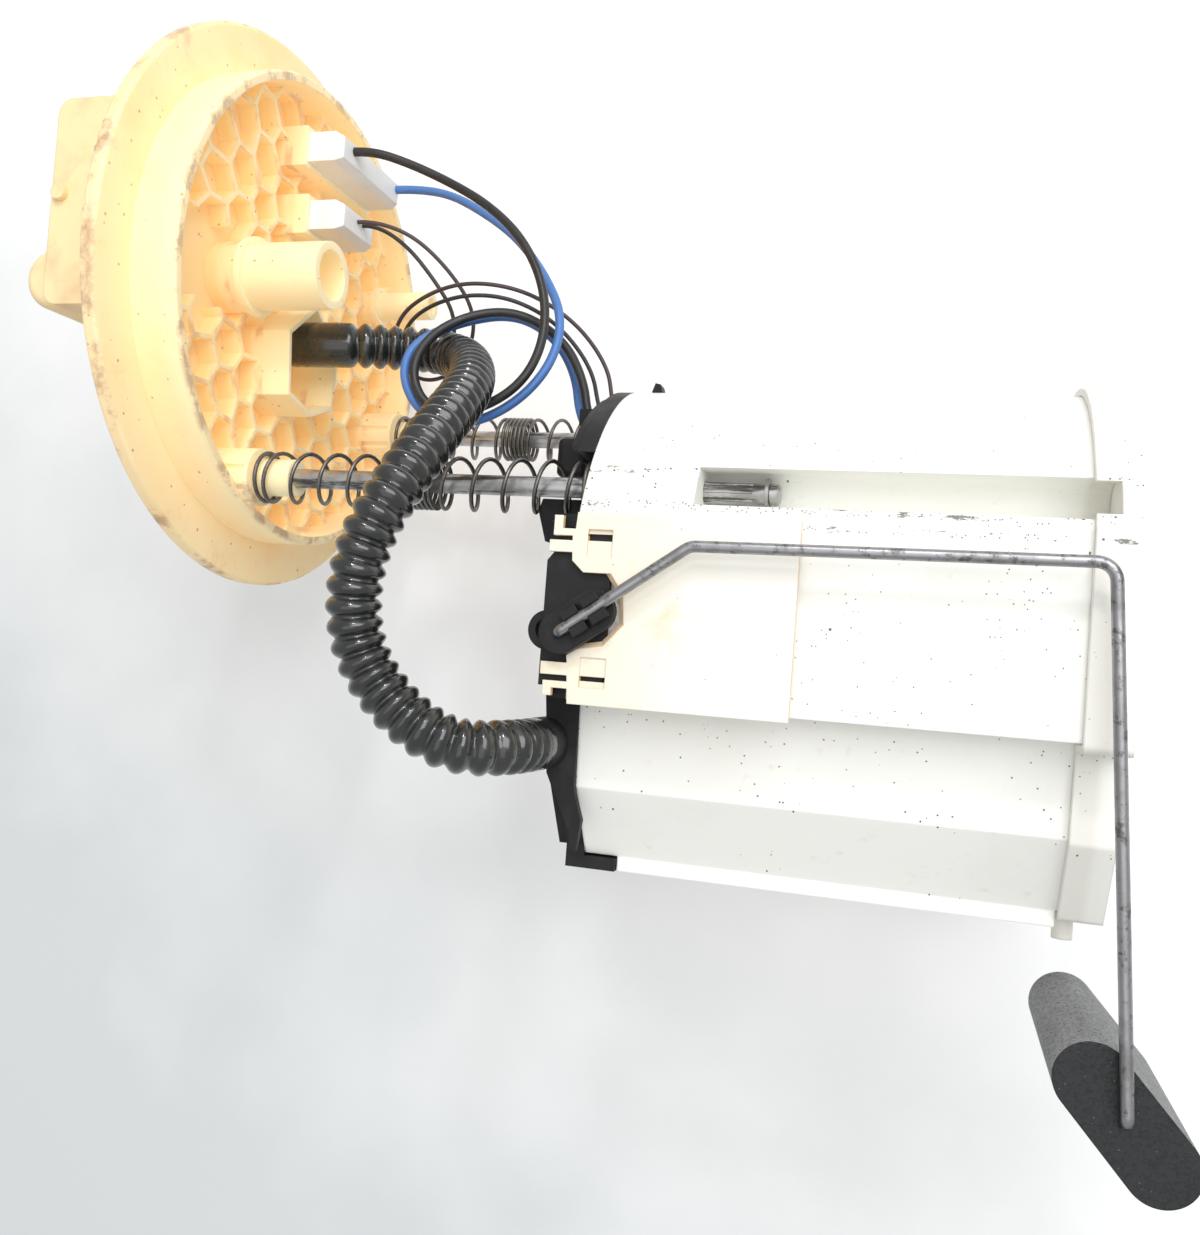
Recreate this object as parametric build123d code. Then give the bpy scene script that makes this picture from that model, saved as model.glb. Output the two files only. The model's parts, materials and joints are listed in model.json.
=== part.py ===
"""In-tank fuel pump module with level sender: build123d model, one STEP per piece.

Frame: millimetres, +Z up, as the module hangs in the tank. The origin is the centre of the
flange's sealing face. -Y is the side that carries the level sender; the reservoir sits
towards -X of the flange, hung on two guide rods.
"""
from build123d import *
import math
import os

os.makedirs("parts", exist_ok=True)

# ---------------------------------------------------------------- driving sizes (mm)
# flange moulding
flange_r = 78.0            # outer radius of the disc
flange_t = 4.0             # disc thickness above the sealing face
crown_r = 72.5             # raised middle of the outer side, inside the clamp-ring land
crown_h = 1.6              # its height above the land
collar_r = 65.5            # spigot that centres the flange in the tank neck
collar_wall = 2.5
collar_depth = 12.8
lead_in = 0.6              # chamfer on the spigot's end
rib_depth = 5.5            # honeycomb ribs under the disc
rib_wall = 1.25
cell_pitch = 12.0
cell_jitter = 3.2          # how far a cell's centre wanders from the regular grid

# stand pipes under the flange
vent_xy = (3.0, -27.5)
vent_r, vent_bore_r, vent_end_z = 8.75, 6.5, -32.5
vent_foot_r, vent_foot_z = 10.4, -11.0
bead_w = 1.8
drain_xy = (17.6, 45.0)
drain_r, drain_bore_r, drain_end_z = 4.4, 2.6, -27.0
drain_foot_r, drain_foot_z = 6.0, -9.5

# guide rods, their bosses and springs
rod_xy = {"front": (-50.5, -26.2), "rear": (-24.0, 51.9)}
rod_r = 2.5
rod_top_z, rod_tip_z = -2.5, -153.3
rod_knurl_z = -135.0       # start of the splined end
rod_groove_z, rod_groove_w, rod_groove_r = -150.4, 1.2, 1.9
clip_r, clip_t = 3.7, 0.8
boss_r, boss_end_z = 4.9, -26.4
boss_foot_r, boss_foot_z = 7.6, -16.0
flute_n, flute_r = 9, 0.9
spring_r, wire_r = 6.45, 0.55
spring_pitch = 8.2
dead_coils, dead_pitch = 6, 1.35
dead_mid_z = {"front": -62.8, "rear": -58.2}

# reservoir bucket
res_c = (-80.0, 18.0)      # centre of its round wall
res_r = 62.0
res_wall = 2.2
res_top_z, res_end_z = -109.0, -225.0
step_x = -101.5            # lower edge of the flat, where the wall steps back
facet_pts = [(-101.9, -28.2), (-123.0, -26.2), (-140.5, -13.8), (-142.0, 18.0)]
rail_x, rail_y = (-144.2, -139.6), (-13.8, -11.0)     # rail along the lower corner
rail_z = (-219.6, -117.4)
flat_y = -40.0             # flat that carries the level sender
sleeve_r, sleeve_end_z = 7.2, -135.4
slide_gap = 0.06           # radial, rod in sleeve
groove_r = 4.7             # channel below each sleeve, for the rod's end
base_lip, base_end_z, base_floor = 2.0, -229.6, 2.2
foot_h = 1.6
peg_r, peg_len, peg_yz = 2.6, 4.5, (-4.0, -217.0)

# reservoir cover
cap_t, cap_rim_h, cap_rim_t, cap_rim_in = 4.6, 2.6, 1.8, 1.6
nipple_xz = (-113.0, -100.6)
nipple_y = -36.5
lid_r, lid_h = 27.0, 7.0

# level sender
arm_pivot = (-86.4, -108.4)          # X, Z of the float arm's axis
arm_y = -48.5                         # plane of the bent wire
arm_r = 1.3
arm_points = [(-65.7, -137.4), (-64.9, -223.3), (-173.6, -231.3)]
arm_bend = 4.0
hub_r, hub_long, hub_back_y = 4.9, 9.3, -44.3     # capsule that lies along the wire
journal_r, journal_gap = 2.0, 0.05
plate_front_y, plate_t = -43.6, 1.6
plate_x, plate_z = (-102.4, -58.6), (-160.6, -109.8)
housing_x, housing_z = (-98.6, -62.0), (-118.0, -102.7)
housing_back_y = -32.0
float_c = (-174.0, -231.5)
float_long, float_wide, float_len = 35.0, 15.0, 56.0
float_tilt = 48.0                     # of its long axis, towards +X from +Z
float_front_y = -46.6

# fuel hose and wires
hose_r, hose_bore_r = 6.3, 4.2
hose_nipple_xy = (-9.0, -5.0)
hose_nipple_end_z = -18.0
nipple_r, nipple_bore_r = 3.9, 2.6
tower_end_z = -15.5
cuff_top_z = -9.0
pump_wire_r, sensor_wire_r = 1.25, 0.6

# electric pump and what stands beside it in the reservoir
pump_r, pump_wall = 19.0, 1.4
pump_z = (-214.0, -142.0)
pump_cover_t = 7.0
shaft_r, shaft_gap = 2.0, 0.05
core_r, impeller_r = 11.0, 15.0
filter_r, filter_bore_r, filter_end_z = 41.0, 27.0, -198.0

fit = 0.15                 # loose assembly clearance between mating mouldings


# ---------------------------------------------------------------- helpers
def put(shape, node):
    """Write one piece to its STEP file."""
    export_step(shape, f"parts/{node}.step")


def post(xy, r, z_low, z_high):
    """Round post or cutter along Z between two heights."""
    return Pos(xy[0], xy[1], z_low) * Cylinder(r, z_high - z_low, align=(Align.CENTER, Align.CENTER, Align.MIN))


def pipe(xy, r, bore_r, z_low, z_high):
    """Round pipe along Z."""
    return post(xy, r, z_low, z_high) - post(xy, bore_r, z_low - 1, z_high + 1)


def block(x, y, z):
    """Box between three pairs of limits."""
    return Pos(min(x), min(y), min(z)) * Box(
        abs(x[1] - x[0]), abs(y[1] - y[0]), abs(z[1] - z[0]), align=(Align.MIN, Align.MIN, Align.MIN))


def bar_y(xz, r, y_low, y_high):
    """Round bar along Y between two stations."""
    return Pos(xz[0], y_low, xz[1]) * Rot(-90, 0, 0) * Cylinder(
        r, y_high - y_low, align=(Align.CENTER, Align.CENTER, Align.MIN))


def slab(outline, z_low, z_high):
    """Prism of a flat outline between two heights."""
    return Pos(0, 0, z_low) * extrude(outline, z_high - z_low)


def jitter(i, j, salt):
    """Repeatable offset between -1 and 1 for grid place (i, j)."""
    s = math.sin(12.9898 * i + 78.233 * j + 37.719 * salt) * 43758.5453
    return 2 * (s - math.floor(s)) - 1


def arc_radii(points):
    """Bend radius for each corner of a cord's route, as large as its two runs allow."""
    p = [Vector(*q) for q in points]
    radii = []
    for a, b, c in zip(p, p[1:], p[2:]):
        turn = math.radians((b - a).get_angle(c - b))
        radii.append(0.45 * min((b - a).length, (c - b).length) / math.tan(turn / 2))
    return radii


def cord(points, r, bore_r=0.0, name="cord"):
    """Flexible round cord: straight runs joined by tangent arcs."""
    radii = arc_radii(points)
    path = FilletPolyline(*points, radius=radii)
    start = Plane(origin=path @ 0, z_dir=path % 0)
    section = start * Circle(r)
    if bore_r:
        section -= start * Circle(bore_r)
    solid = sweep(section, path=path)
    area = math.pi * (r * r - bore_r * bore_r)
    print(f"{name}: length {path.length:.1f}, volume {solid.volume:.0f} of {area * path.length:.0f}, radii "
          + " ".join(f"{q:.1f}" for q in radii))
    return solid


# ---------------------------------------------------------------- flange moulding
def inset_polygon(corners, inset):
    """Convex polygon, given anticlockwise, with every side moved inwards."""
    sides = []
    for a, b in zip(corners, corners[1:] + corners[:1]):
        along = (b - a).normalized()
        sides.append((a + Vector(-along.Y, along.X) * inset, along))
    inner = []
    for (p, u), (q, v) in zip(sides, sides[1:] + sides[:1]):
        reach = ((q - p).X * v.Y - (q - p).Y * v.X) / (u.X * v.Y - u.Y * v.X)
        inner.append(p + u * reach)
    return [(w.X, w.Y) for w in inner]


def honeycomb():
    """Rib layer under the disc: one pocket for each cell of a wandering hexagon grid."""
    inner_r = collar_r - collar_wall
    row = cell_pitch * math.sqrt(3) / 2
    n = int(inner_r / row) + 2

    def seed(i, j):
        return Vector(cell_pitch * (i + j / 2) + cell_jitter * jitter(i, j, 1),
                      row * j + cell_jitter * jitter(i, j, 2))

    def corner(i, j, up):
        trio = [(i, j), (i + 1, j), (i, j + 1)] if up else [(i + 1, j), (i, j + 1), (i + 1, j + 1)]
        a, b, c = (seed(*t) for t in trio)
        return (a + b + c) * (1 / 3)

    room = Circle(inner_r)
    pockets = []
    for j in range(-n, n + 1):
        for i in range(-2 * n, 2 * n + 1):
            c = seed(i, j)
            if c.length > inner_r + 0.3 * cell_pitch:
                continue
            ring = [corner(i, j, True), corner(i - 1, j, False), corner(i - 1, j, True),
                    corner(i - 1, j - 1, False), corner(i, j - 1, True), corner(i, j - 1, False)]
            ring.sort(key=lambda v: math.atan2(v.Y - c.Y, v.X - c.X))
            cell = make_face(Polyline(*inset_polygon(ring, rib_wall / 2), close=True))
            if c.length > inner_r - cell_pitch:
                cell = cell & room
            pockets += [f for f in cell.faces() if f.area > 16]
    layer = post((0, 0), inner_r + 0.5, -rib_depth, 0)
    pockets.append(Pos(vent_xy[0], (vent_xy[1] - inner_r) / 2) * Rectangle(2 * vent_foot_r + 1, inner_r + vent_xy[1]) & room)
    return layer - [Pos(0, 0, -rib_depth) * extrude(f, rib_depth, dir=(0, 0, 1)) for f in pockets]


def standing_pipe(xy, r, foot_r, foot_z, end_z):
    """Outside of a stand pipe: wide foot, a bead where it steps in, plain end."""
    return post(xy, foot_r - bead_w * 0.6, foot_z, 0) + post(xy, foot_r, foot_z, foot_z + bead_w) + post(
        xy, r, end_z, foot_z)


def rod_boss(xy):
    """Boss that grips a guide rod, on a fluted foot that the spring seats on."""
    foot = post(xy, boss_foot_r, boss_foot_z, 0)
    for k in range(flute_n):
        a = 2 * math.pi * k / flute_n
        foot -= post((xy[0] + boss_foot_r * math.cos(a), xy[1] + boss_foot_r * math.sin(a)), flute_r,
                     boss_foot_z + 1.2, -rib_depth)
    return foot + post(xy, boss_r, boss_end_z, boss_foot_z)


plug_places = {"pump": (46.2, 8.0), "sensor": (27.9, 2.6)}       # middle of each plug, X and Y
plug_long = {"pump": 36.0, "sensor": 19.0}                        # along Y
plug_wide = {"pump": 8.4, "sensor": 8.4}
plug_z = (-22.0, -11.5)
pedestal_h = {"pump": 11.5, "sensor": 11.5}


def flange():
    """One-piece flange: disc, spigot, honeycomb, stand pipes, rod bosses and hose nipple."""
    body = post((0, 0), flange_r, 0, flange_t)
    body = fillet(body.edges().filter_by(GeomType.CIRCLE), 1.0)
    body += post((0, 0), crown_r, flange_t, flange_t + crown_h)
    collar = post((0, 0), collar_r, -collar_depth, 0)
    collar = chamfer(collar.edges().filter_by(GeomType.CIRCLE).sort_by(Axis.Z)[0], lead_in)
    collar -= post((0, 0), collar_r - collar_wall, -collar_depth - 1, 0)
    body += collar + honeycomb()
    body += standing_pipe(vent_xy, vent_r, vent_foot_r, vent_foot_z, vent_end_z)
    body += standing_pipe(drain_xy, drain_r, drain_foot_r, drain_foot_z, drain_end_z)
    for xy in rod_xy.values():
        body += rod_boss(xy)
    for name, (x, y) in plug_places.items():
        body += block((x - plug_wide[name] / 2 - 1.4, x + plug_wide[name] / 2 + 1.4),
                      (y - plug_long[name] / 2 - 1.4, y + plug_long[name] / 2 + 1.4), (plug_z[1], 0))
    x, y = hose_nipple_xy
    tower = make_face(Polyline((x + 0.4, y - 13.5), (x - 17.0, y - 11.5), (x - 20.5, y + 1.0),
                               (x - 16.0, y + 12.5), (x + 0.5, y + 14.0), (x + 11.5, y), close=True))
    body += slab(tower, tower_end_z, 0)
    body -= slab(offset(tower, amount=-rib_wall, kind=Kind.INTERSECTION), tower_end_z, -1.5)
    body += post(hose_nipple_xy, nipple_r, hose_nipple_end_z, 0)
    body -= post(vent_xy, vent_bore_r, vent_end_z - 1, -1.0)
    body -= post(drain_xy, drain_bore_r, drain_end_z - 1, -1.0)
    body -= post(hose_nipple_xy, nipple_bore_r, hose_nipple_end_z - 1, flange_t + crown_h + 1)
    for xy in rod_xy.values():
        body -= post(xy, rod_r, boss_end_z - 1, rod_top_z)
    return body


# ---------------------------------------------------------------- outer side of the flange
box_x, box_y = (-14.0, 38.0), (-60.0, -33.0)
box_top_z = 29.0
socket_x, socket_y, socket_floor_z = (6.0, 34.0), (-55.5, -37.5), 12.0
outlet_x, outlet_z = -5.0, 33.4
outlet_r, outlet_y = 7.7, (-54.0, -2.0)
nipple_out_r, nipple_out_len, nipple_bead_r = 3.95, 26.0, 4.75
land_z = flange_t + crown_h


def connector_housing():
    """Shroud for the vehicle's plug, with the fuel outlet barrel behind it, welded on the crown."""
    shroud = fillet(block(box_x, box_y, (land_z, box_top_z)).edges().filter_by(Axis.Y), 4.0)
    base = block(box_x, box_y, (land_z, land_z + 6.0))
    shroud += base
    shroud -= fillet(block(socket_x, socket_y, (socket_floor_z, box_top_z + 1)).edges().filter_by(Axis.Z), 2.5)
    barrel = bar_y((outlet_x, outlet_z), outlet_r, outlet_y[0], outlet_y[1] + outlet_r + 2)
    barrel = fillet(barrel.edges().filter_by(GeomType.CIRCLE), 3.0)
    column = post((outlet_x, outlet_y[1]), outlet_r - 1.0, land_z, outlet_z)
    end = outlet_y[1] + outlet_r + 2
    spout = bar_y((outlet_x, outlet_z), nipple_out_r, end - 1, end + nipple_out_len)
    spout = chamfer(spout.edges().filter_by(GeomType.CIRCLE).sort_by(Axis.Y)[-1], 0.8)
    bead = bar_y((outlet_x, outlet_z), nipple_bead_r, end + 1.2, end + 3.0)
    pip = bar_y((14.0, box_top_z - 3.0), 2.0, box_y[0] - 1.6, box_y[0] + 1)
    part = shroud + barrel + column + spout + bead + pip
    part -= bar_y((outlet_x, outlet_z), nipple_bore_r, outlet_y[0] + 8, end + nipple_out_len + 1)
    part -= post(((outlet_x + hose_nipple_xy[0]) / 2, hose_nipple_xy[1]), nipple_bore_r, land_z - 1, outlet_z)
    # blades pass through the socket's floor
    for x, y in blade_places():
        part -= block((x - blade_w / 2, x + blade_w / 2), (y - blade_t / 2, y + blade_t / 2),
                      (land_z - 1, socket_floor_z + 1))
    return part


blade_w, blade_t, blade_top_z = 2.8, 0.8, 21.0


def blade_places():
    """Four contact blades in a row along the socket."""
    mid = (socket_y[0] + socket_y[1]) / 2
    return [(socket_x[0] + (k + 0.5) * (socket_x[1] - socket_x[0]) / 4, mid) for k in range(4)]


def terminals():
    """Contact blades that stand in the vehicle-side socket."""
    blades = []
    for x, y in blade_places():
        b = block((x - blade_w / 2, x + blade_w / 2), (y - blade_t / 2, y + blade_t / 2),
                  (land_z, blade_top_z))
        blades.append(chamfer(b.edges().group_by(Axis.Z)[-1], 0.3))
    return Compound(children=blades)


# ---------------------------------------------------------------- rods, clips and springs
def guide_rod(xy):
    """Bright rod, pressed into its boss, with a splined end and a groove for the clip."""
    rod = post(xy, rod_r, rod_tip_z, rod_top_z)
    for k in range(8):
        a = 2 * math.pi * k / 8
        rod -= post((xy[0] + (rod_r + 0.12) * math.cos(a), xy[1] + (rod_r + 0.12) * math.sin(a)), 0.45,
                    rod_knurl_z - 12.0, rod_knurl_z)
    rod = chamfer(rod.edges().filter_by(GeomType.CIRCLE).sort_by(Axis.Z)[0], 0.5)
    return rod - pipe(xy, rod_r + 1, rod_groove_r, rod_groove_z - rod_groove_w / 2, rod_groove_z + rod_groove_w / 2)


def rod_clip(xy):
    """Snap ring in the rod's groove."""
    ring = pipe(xy, clip_r, rod_groove_r + 0.02, rod_groove_z - clip_t / 2, rod_groove_z + clip_t / 2)
    gap = block((xy[0] - 1.2, xy[0] + 1.2), (xy[1] + rod_groove_r * 0.6, xy[1] + clip_r + 1),
                (rod_groove_z - 1, rod_groove_z + 1))
    return ring - gap


def spring(name):
    """Compression spring with a stack of dead coils in its middle, of square-set wire."""
    x, y = rod_xy[name]
    low, high = res_top_z + wire_r + 0.05, boss_foot_z - wire_r - 0.05
    dead_low = dead_mid_z[name] - dead_coils * dead_pitch / 2
    dead_high = dead_mid_z[name] + dead_coils * dead_pitch / 2
    stretches = [(low, dead_low, round((dead_low - low) / spring_pitch)), (dead_low, dead_high, dead_coils),
                 (dead_high, high, round((high - dead_high) / spring_pitch))]
    path = Wire([Helix(pitch=(z1 - z0) / turns, height=z1 - z0, radius=spring_r, center=(x, y, z0)).edge()
                 for z0, z1, turns in stretches])
    section = Plane(origin=path @ 0, z_dir=path % 0) * RegularPolygon(wire_r * 1.2, 4)
    return sweep(section, path=path, is_frenet=True)


# ---------------------------------------------------------------- reservoir
def res_outline():
    """Outer outline of the bucket: round wall, flat for the sender, and two facets below a step."""
    ring = Pos(*res_c) * Circle(res_r)
    ring += Pos(*rod_xy["rear"]) * Circle(sleeve_r + 1.6)
    ring += make_face(Polyline(res_c, *facet_pts, close=True))
    ring -= Pos(res_c[0], flat_y - 20) * Rectangle(160, 40)
    low = min(x for x, _ in facet_pts) - 20
    return ring - make_face(Polyline((step_x, flat_y - 20), (step_x, flat_y), *facet_pts[:3], (low, facet_pts[2][1]),
                                     (low, flat_y - 20), close=True))


def way_out(name):
    """Direction, in degrees, in which the room round a guide rod opens to the outside."""
    out = Vector(*rod_xy[name]) - Vector(*res_c)
    return -90.0 if name == "front" else math.degrees(math.atan2(out.Y, out.X))


def slot_out(name, r):
    """Round hole about a rod with a slot of the same width to the outside."""
    return Pos(*rod_xy[name]) * (Circle(r) + Rot(0, 0, way_out(name)) * Pos(20, 0) * Rectangle(40, 2 * r))


def reservoir():
    """Bucket wall with two guide sleeves; the front rod's end lies in an open groove, the rear one's in a bore."""
    outline = res_outline()
    body = slab(outline, res_end_z, res_top_z)
    inner = offset(outline, amount=-res_wall, kind=Kind.ARC)
    inner -= slot_out("front", groove_r + res_wall)
    inner -= Pos(*rod_xy["rear"]) * Circle(groove_r + res_wall)
    body -= slab(inner, res_end_z, res_top_z)
    body -= slab(slot_out("front", groove_r), res_end_z - 1, sleeve_end_z)
    body -= post(rod_xy["rear"], groove_r, res_end_z - 1, sleeve_end_z)
    for xy in rod_xy.values():
        body -= post(xy, rod_r + slide_gap, sleeve_end_z - 1, res_top_z + 1)
    # notch in the flat's top edge for the level sender, and the window for the cover's snap lug
    body -= block((housing_x[0] - fit, housing_x[1] + fit), (flat_y - 1, flat_y + res_wall + 6),
                  (notch_z - fit, res_top_z + 1))
    body -= block((lug_x - 4.0, lug_x + 6.0), (lug_y[0] - 0.4, lug_y[1] + 0.4), (lug_z[0] - 0.4, lug_z[1] + 0.4))
    return body + block(rail_x, rail_y, rail_z)


notch_z = -114.0
lug_y, lug_z = (1.6, 6.4), (-117.3, -112.6)
lug_x = res_c[0] + math.sqrt((res_r - res_wall) ** 2 - (lug_y[0] - res_c[1]) ** 2)     # inner face of the wall there


def reservoir_base():
    """Foot of the bucket: floor, lip round the wall, cup for the pump and a side peg."""
    outline = res_outline()
    lip = offset(outline, amount=base_lip, kind=Kind.ARC)
    body = slab(lip, base_end_z, res_end_z + 5.0)
    seat = offset(outline, amount=fit, kind=Kind.ARC)
    body -= slab(seat, res_end_z, res_end_z + 6.0)
    body -= slab(offset(outline, amount=-3.0, kind=Kind.ARC), base_end_z, res_end_z - base_floor)
    body -= slab(slot_out("front", groove_r - 1.0), res_end_z, res_end_z + 6.0)
    # pump cup and the inlet below it
    body += pipe(res_c, pump_r + 4.6, pump_r + 2.6, res_end_z - 0.5, res_end_z + 16.0)
    body -= post(res_c, 4.0, base_end_z - 1, res_end_z + 1)
    x_wall = res_c[0] - 61.8
    body += Pos(x_wall - peg_len - base_lip, peg_yz[0], res_end_z + 2.6) * Rot(0, 90, 0) * Cylinder(
        peg_r * 0.9, peg_len + 2.5, align=(Align.CENTER, Align.CENTER, Align.MIN))
    return body


# ---------------------------------------------------------------- cover of the reservoir
def cap_outline(inset):
    """Cover's outline at an inset from the bucket's, kept clear of the spring seats."""
    shape = offset(res_outline(), amount=-inset, kind=Kind.ARC)
    for name in rod_xy:
        shape -= slot_out(name, spring_r + 1.6 + inset)
    shape -= Pos((housing_x[0] + housing_x[1]) / 2, flat_y) * Rectangle(
        housing_x[1] - housing_x[0] + 2 * fit + 2 * inset, 2 * (housing_back_y - flat_y + fit + inset))
    return shape


def upright(outline, y, thick):
    """Flat plate that stands along Y, from an outline in X and Z."""
    return Pos(0, y, 0) * extrude(Plane.XZ * make_face(Polyline(*outline, close=True)), amount=-thick)


def reservoir_cap():
    """Black cover: plate, stiffening rim, hose nipple on a gusset, guide block, snap lug and corner tab."""
    top = res_top_z + cap_t
    body = slab(cap_outline(0.05), res_top_z, top)
    rim = cap_outline(cap_rim_in) - cap_outline(cap_rim_in + cap_rim_t)
    body += slab(rim, top, top + cap_rim_h)
    # gusset along the facet, running out past the corner
    body += upright([(-100.3, res_top_z), (-100.3, top + 4.2), (-105.6, top + 3.7), (-120.1, top + 2.5), (-133.9, -108.6),
                     (-137.7, -108.9), (-138.2, -110.5), (-130.7, -111.4), (-124.4, res_top_z - 0.3),
                     (-122.4, res_top_z)], gusset_y, gusset_t)
    body -= bar_y(nipple_xz, hose_r + 0.3, -45.0, nipple_y)
    body += bar_y(nipple_xz, nipple_boss_r, nipple_y, gusset_y + 8.0)
    body += bar_y(nipple_xz, nipple_r, nipple_y - 6.0, gusset_y + 6.0)
    body -= bar_y(nipple_xz, nipple_bore_r, nipple_y - 7.0, gusset_y + 6.5)
    # guide block beside the front rod, and two small ribs between it and the sender
    guide = block((-45.8, -35.6), (-14.0, 0.0), (top, -93.4))
    body += fillet(guide.edges().filter_by(Axis.Z) + guide.edges().group_by(Axis.Z)[-1], 1.6)
    body += upright([(-52.0, top), (-52.0, -91.4), (-55.0, -90.4), (-62.9, -92.8), (-66.0, top)], -16.0, 1.6)
    body += block((-30.0, -25.6), (-2.0, 3.0), (top, -95.0))
    # fuel and wires pass down through the plate
    body -= post(wire_hole_xy, wire_hole_r, res_top_z - 1, top + 1)
    body -= post(res_c, lid_r - 2.0, res_top_z - 1, top + 1)
    # leg inside the wall with a snap lug that shows through the wall's window
    leg = block((lug_x - 1.9, lug_x - 0.3), (lug_y[0] + 0.1, lug_y[1] - 0.1), (lug_z[0], res_top_z + 1))
    lug = Pos(0, lug_y[1] - 0.1, 0) * extrude(
        Plane.XZ * make_face(Polyline((lug_x - 0.4, lug_z[0]), (lug_x + 4.6, lug_z[0] + 1.6), (lug_x + 4.9, lug_z[0] + 3.0),
                                      (lug_x - 0.4, lug_z[1]), close=True)), amount=lug_y[1] - lug_y[0] - 0.2)
    body += leg + lug
    # tab over the lower corner, in line with the rail
    x, y = facet_pts[2]
    body += block((rail_x[0], x + 4.0), (y - 1.4, y + 8.0), (res_top_z, top))
    body += block((rail_x[0], x - 0.6), (y - 1.4, y + 8.0), (rail_z[1] + 0.3, top))
    return body


gusset_y, gusset_t = -28.3, 2.2
nipple_boss_r = 6.3
wire_hole_xy, wire_hole_r = (-29.0, 13.5), 5.2
grommet_z = (-107.6, -103.6)


def cap_lid():
    """Grey lid over the pump chamber, seated on the cover."""
    z = res_top_z + cap_t
    dome = post(res_c, lid_r, z, z + lid_h)
    dome = fillet(dome.edges().filter_by(GeomType.CIRCLE).sort_by(Axis.Z)[-1], 2.5)
    dome -= post(res_c, lid_r - 1.8, z - 1, z + lid_h - 1.8)
    return dome + post(res_c, 5.0, z + lid_h, z + lid_h + 2.0)


# ---------------------------------------------------------------- level sender
def plate_box(x, z, y=None):
    """Cutter or pad on the sender's plate."""
    return block(x, y or (plate_front_y - 1, plate_front_y + plate_t + 1), z)


def sensor_bracket():
    """Cream plate that clips the sender on the bucket's flat."""
    back = plate_front_y + plate_t
    px, pz = arm_pivot
    edge = Polyline((plate_x[1], plate_z[0]), (plate_x[1], plate_z[1]), (plate_x[1] - 4.2, plate_z[1] + 0.3),
                    (plate_x[1] - 5.4, plate_z[1] + 0.9), (-69.7, plate_z[1] + 0.6), (-72.3, plate_z[1] - 2.2),
                    (-72.3, -117.2), (-75.0, -119.1), (-77.5, -120.7), (-83.3, -121.2), (-87.7, -117.3),
                    (-88.4, -113.3), (-91.4, plate_z[1] + 0.3), (-93.0, plate_z[1] + 0.1), (plate_x[0], plate_z[1] - 0.6),
                    (plate_x[0], plate_z[0]), close=True)
    body = Pos(0, back, 0) * extrude(Plane.XZ * make_face(edge), amount=plate_t)
    rim = [e for e in body.edges().group_by(Axis.Y)[0]
           if -89 < e.center().X < -74 and -122 < e.center().Z < -112]
    body = chamfer(rim, 1.2)
    # windows, each with a ledge, a slot and a spring tongue
    for ledge, slot, tongue, z in [((-63.4, -62.4), (-65.0, -63.4), (-68.7, -65.0), (-118.4, -112.6)),
                                   ((-98.5, -97.0), (-97.0, -95.9), (-95.9, -91.6), (-119.0, -112.9))]:
        body -= plate_box((min(ledge + tongue), max(ledge + tongue)), z)
        body += block(ledge, (back - 0.9, back), z) + block(tongue, (back - 1.2, back - 0.1), z)
    # side rails that hold the plate off the flat
    for x in (plate_x[0] + 2.0, plate_x[1] - 2.6):
        body += block((x, x + 1.6), (back, flat_y), (plate_z[0] + 6, notch_z - 6))
    # two square hooks and two angled ones along the upper edge
    front = (plate_front_y, back)
    for x in ((-67.8, -65.1), (-96.0, -93.1)):
        body += block(x, front, (plate_z[1] - 1.5, -103.5))
    for foot, bar in (((-64.0, -62.4), (-64.0, -59.4)), ((-99.0, -97.4), (-100.8, -97.4))):
        body += block(foot, front, (plate_z[1] - 1.5, -104.3)) + block(bar, front, (-106.4, -104.3))
    return body


housing_front_y = plate_front_y + plate_t + 0.05


def sensor_housing():
    """Black housing of the variable resistor, with the bearing of the float arm."""
    body = block(housing_x, (housing_front_y, flat_y - 0.02), housing_z)
    body += block((housing_x[0] + 0.5, housing_x[1] - 0.5), (housing_front_y, housing_back_y),
                  (notch_z, housing_z[1]))
    px, pz = arm_pivot
    body += bar_y(arm_pivot, journal_r + 2.0, hub_back_y + 0.3, housing_front_y + 0.5)
    # open chamber at the back for the card and the wiper
    body -= block((px - 11.0, px + 12.0), (-38.2, housing_back_y + 1), (notch_z + 1.5, housing_z[1] - 1.5))
    body -= bar_y(arm_pivot, journal_r + journal_gap, hub_back_y - 1, -37.0)
    # slanted shoulders towards the hooks
    body -= Pos(0, housing_back_y + 1, 0) * extrude(
        Plane.XZ * make_face(Polyline((housing_x[1] + 1, housing_z[1] - 7), (housing_x[1] + 1, housing_z[1] + 1),
                                      (housing_x[1] - 9, housing_z[1] + 1), close=True)), amount=20)
    loop = bar_y((px + 0.5, housing_z[1] - 0.8), 4.6, housing_front_y + 1, housing_front_y + 3.4)
    loop -= bar_y((px + 0.5, housing_z[1] - 0.8), 2.8, housing_front_y, housing_front_y + 4)
    loop -= block((px - 6, px + 7), (housing_front_y, housing_front_y + 5), (housing_z[1] - 8, housing_z[1] - 0.5))
    return body + loop


def resistor_card():
    """Ceramic card with the resistor track, on the back of the chamber."""
    px, pz = arm_pivot
    return block((px - 10.8, px + 11.8), (housing_back_y - 1.4, housing_back_y - 0.6),
                 (notch_z + 1.6, housing_z[1] - 1.6))


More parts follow.
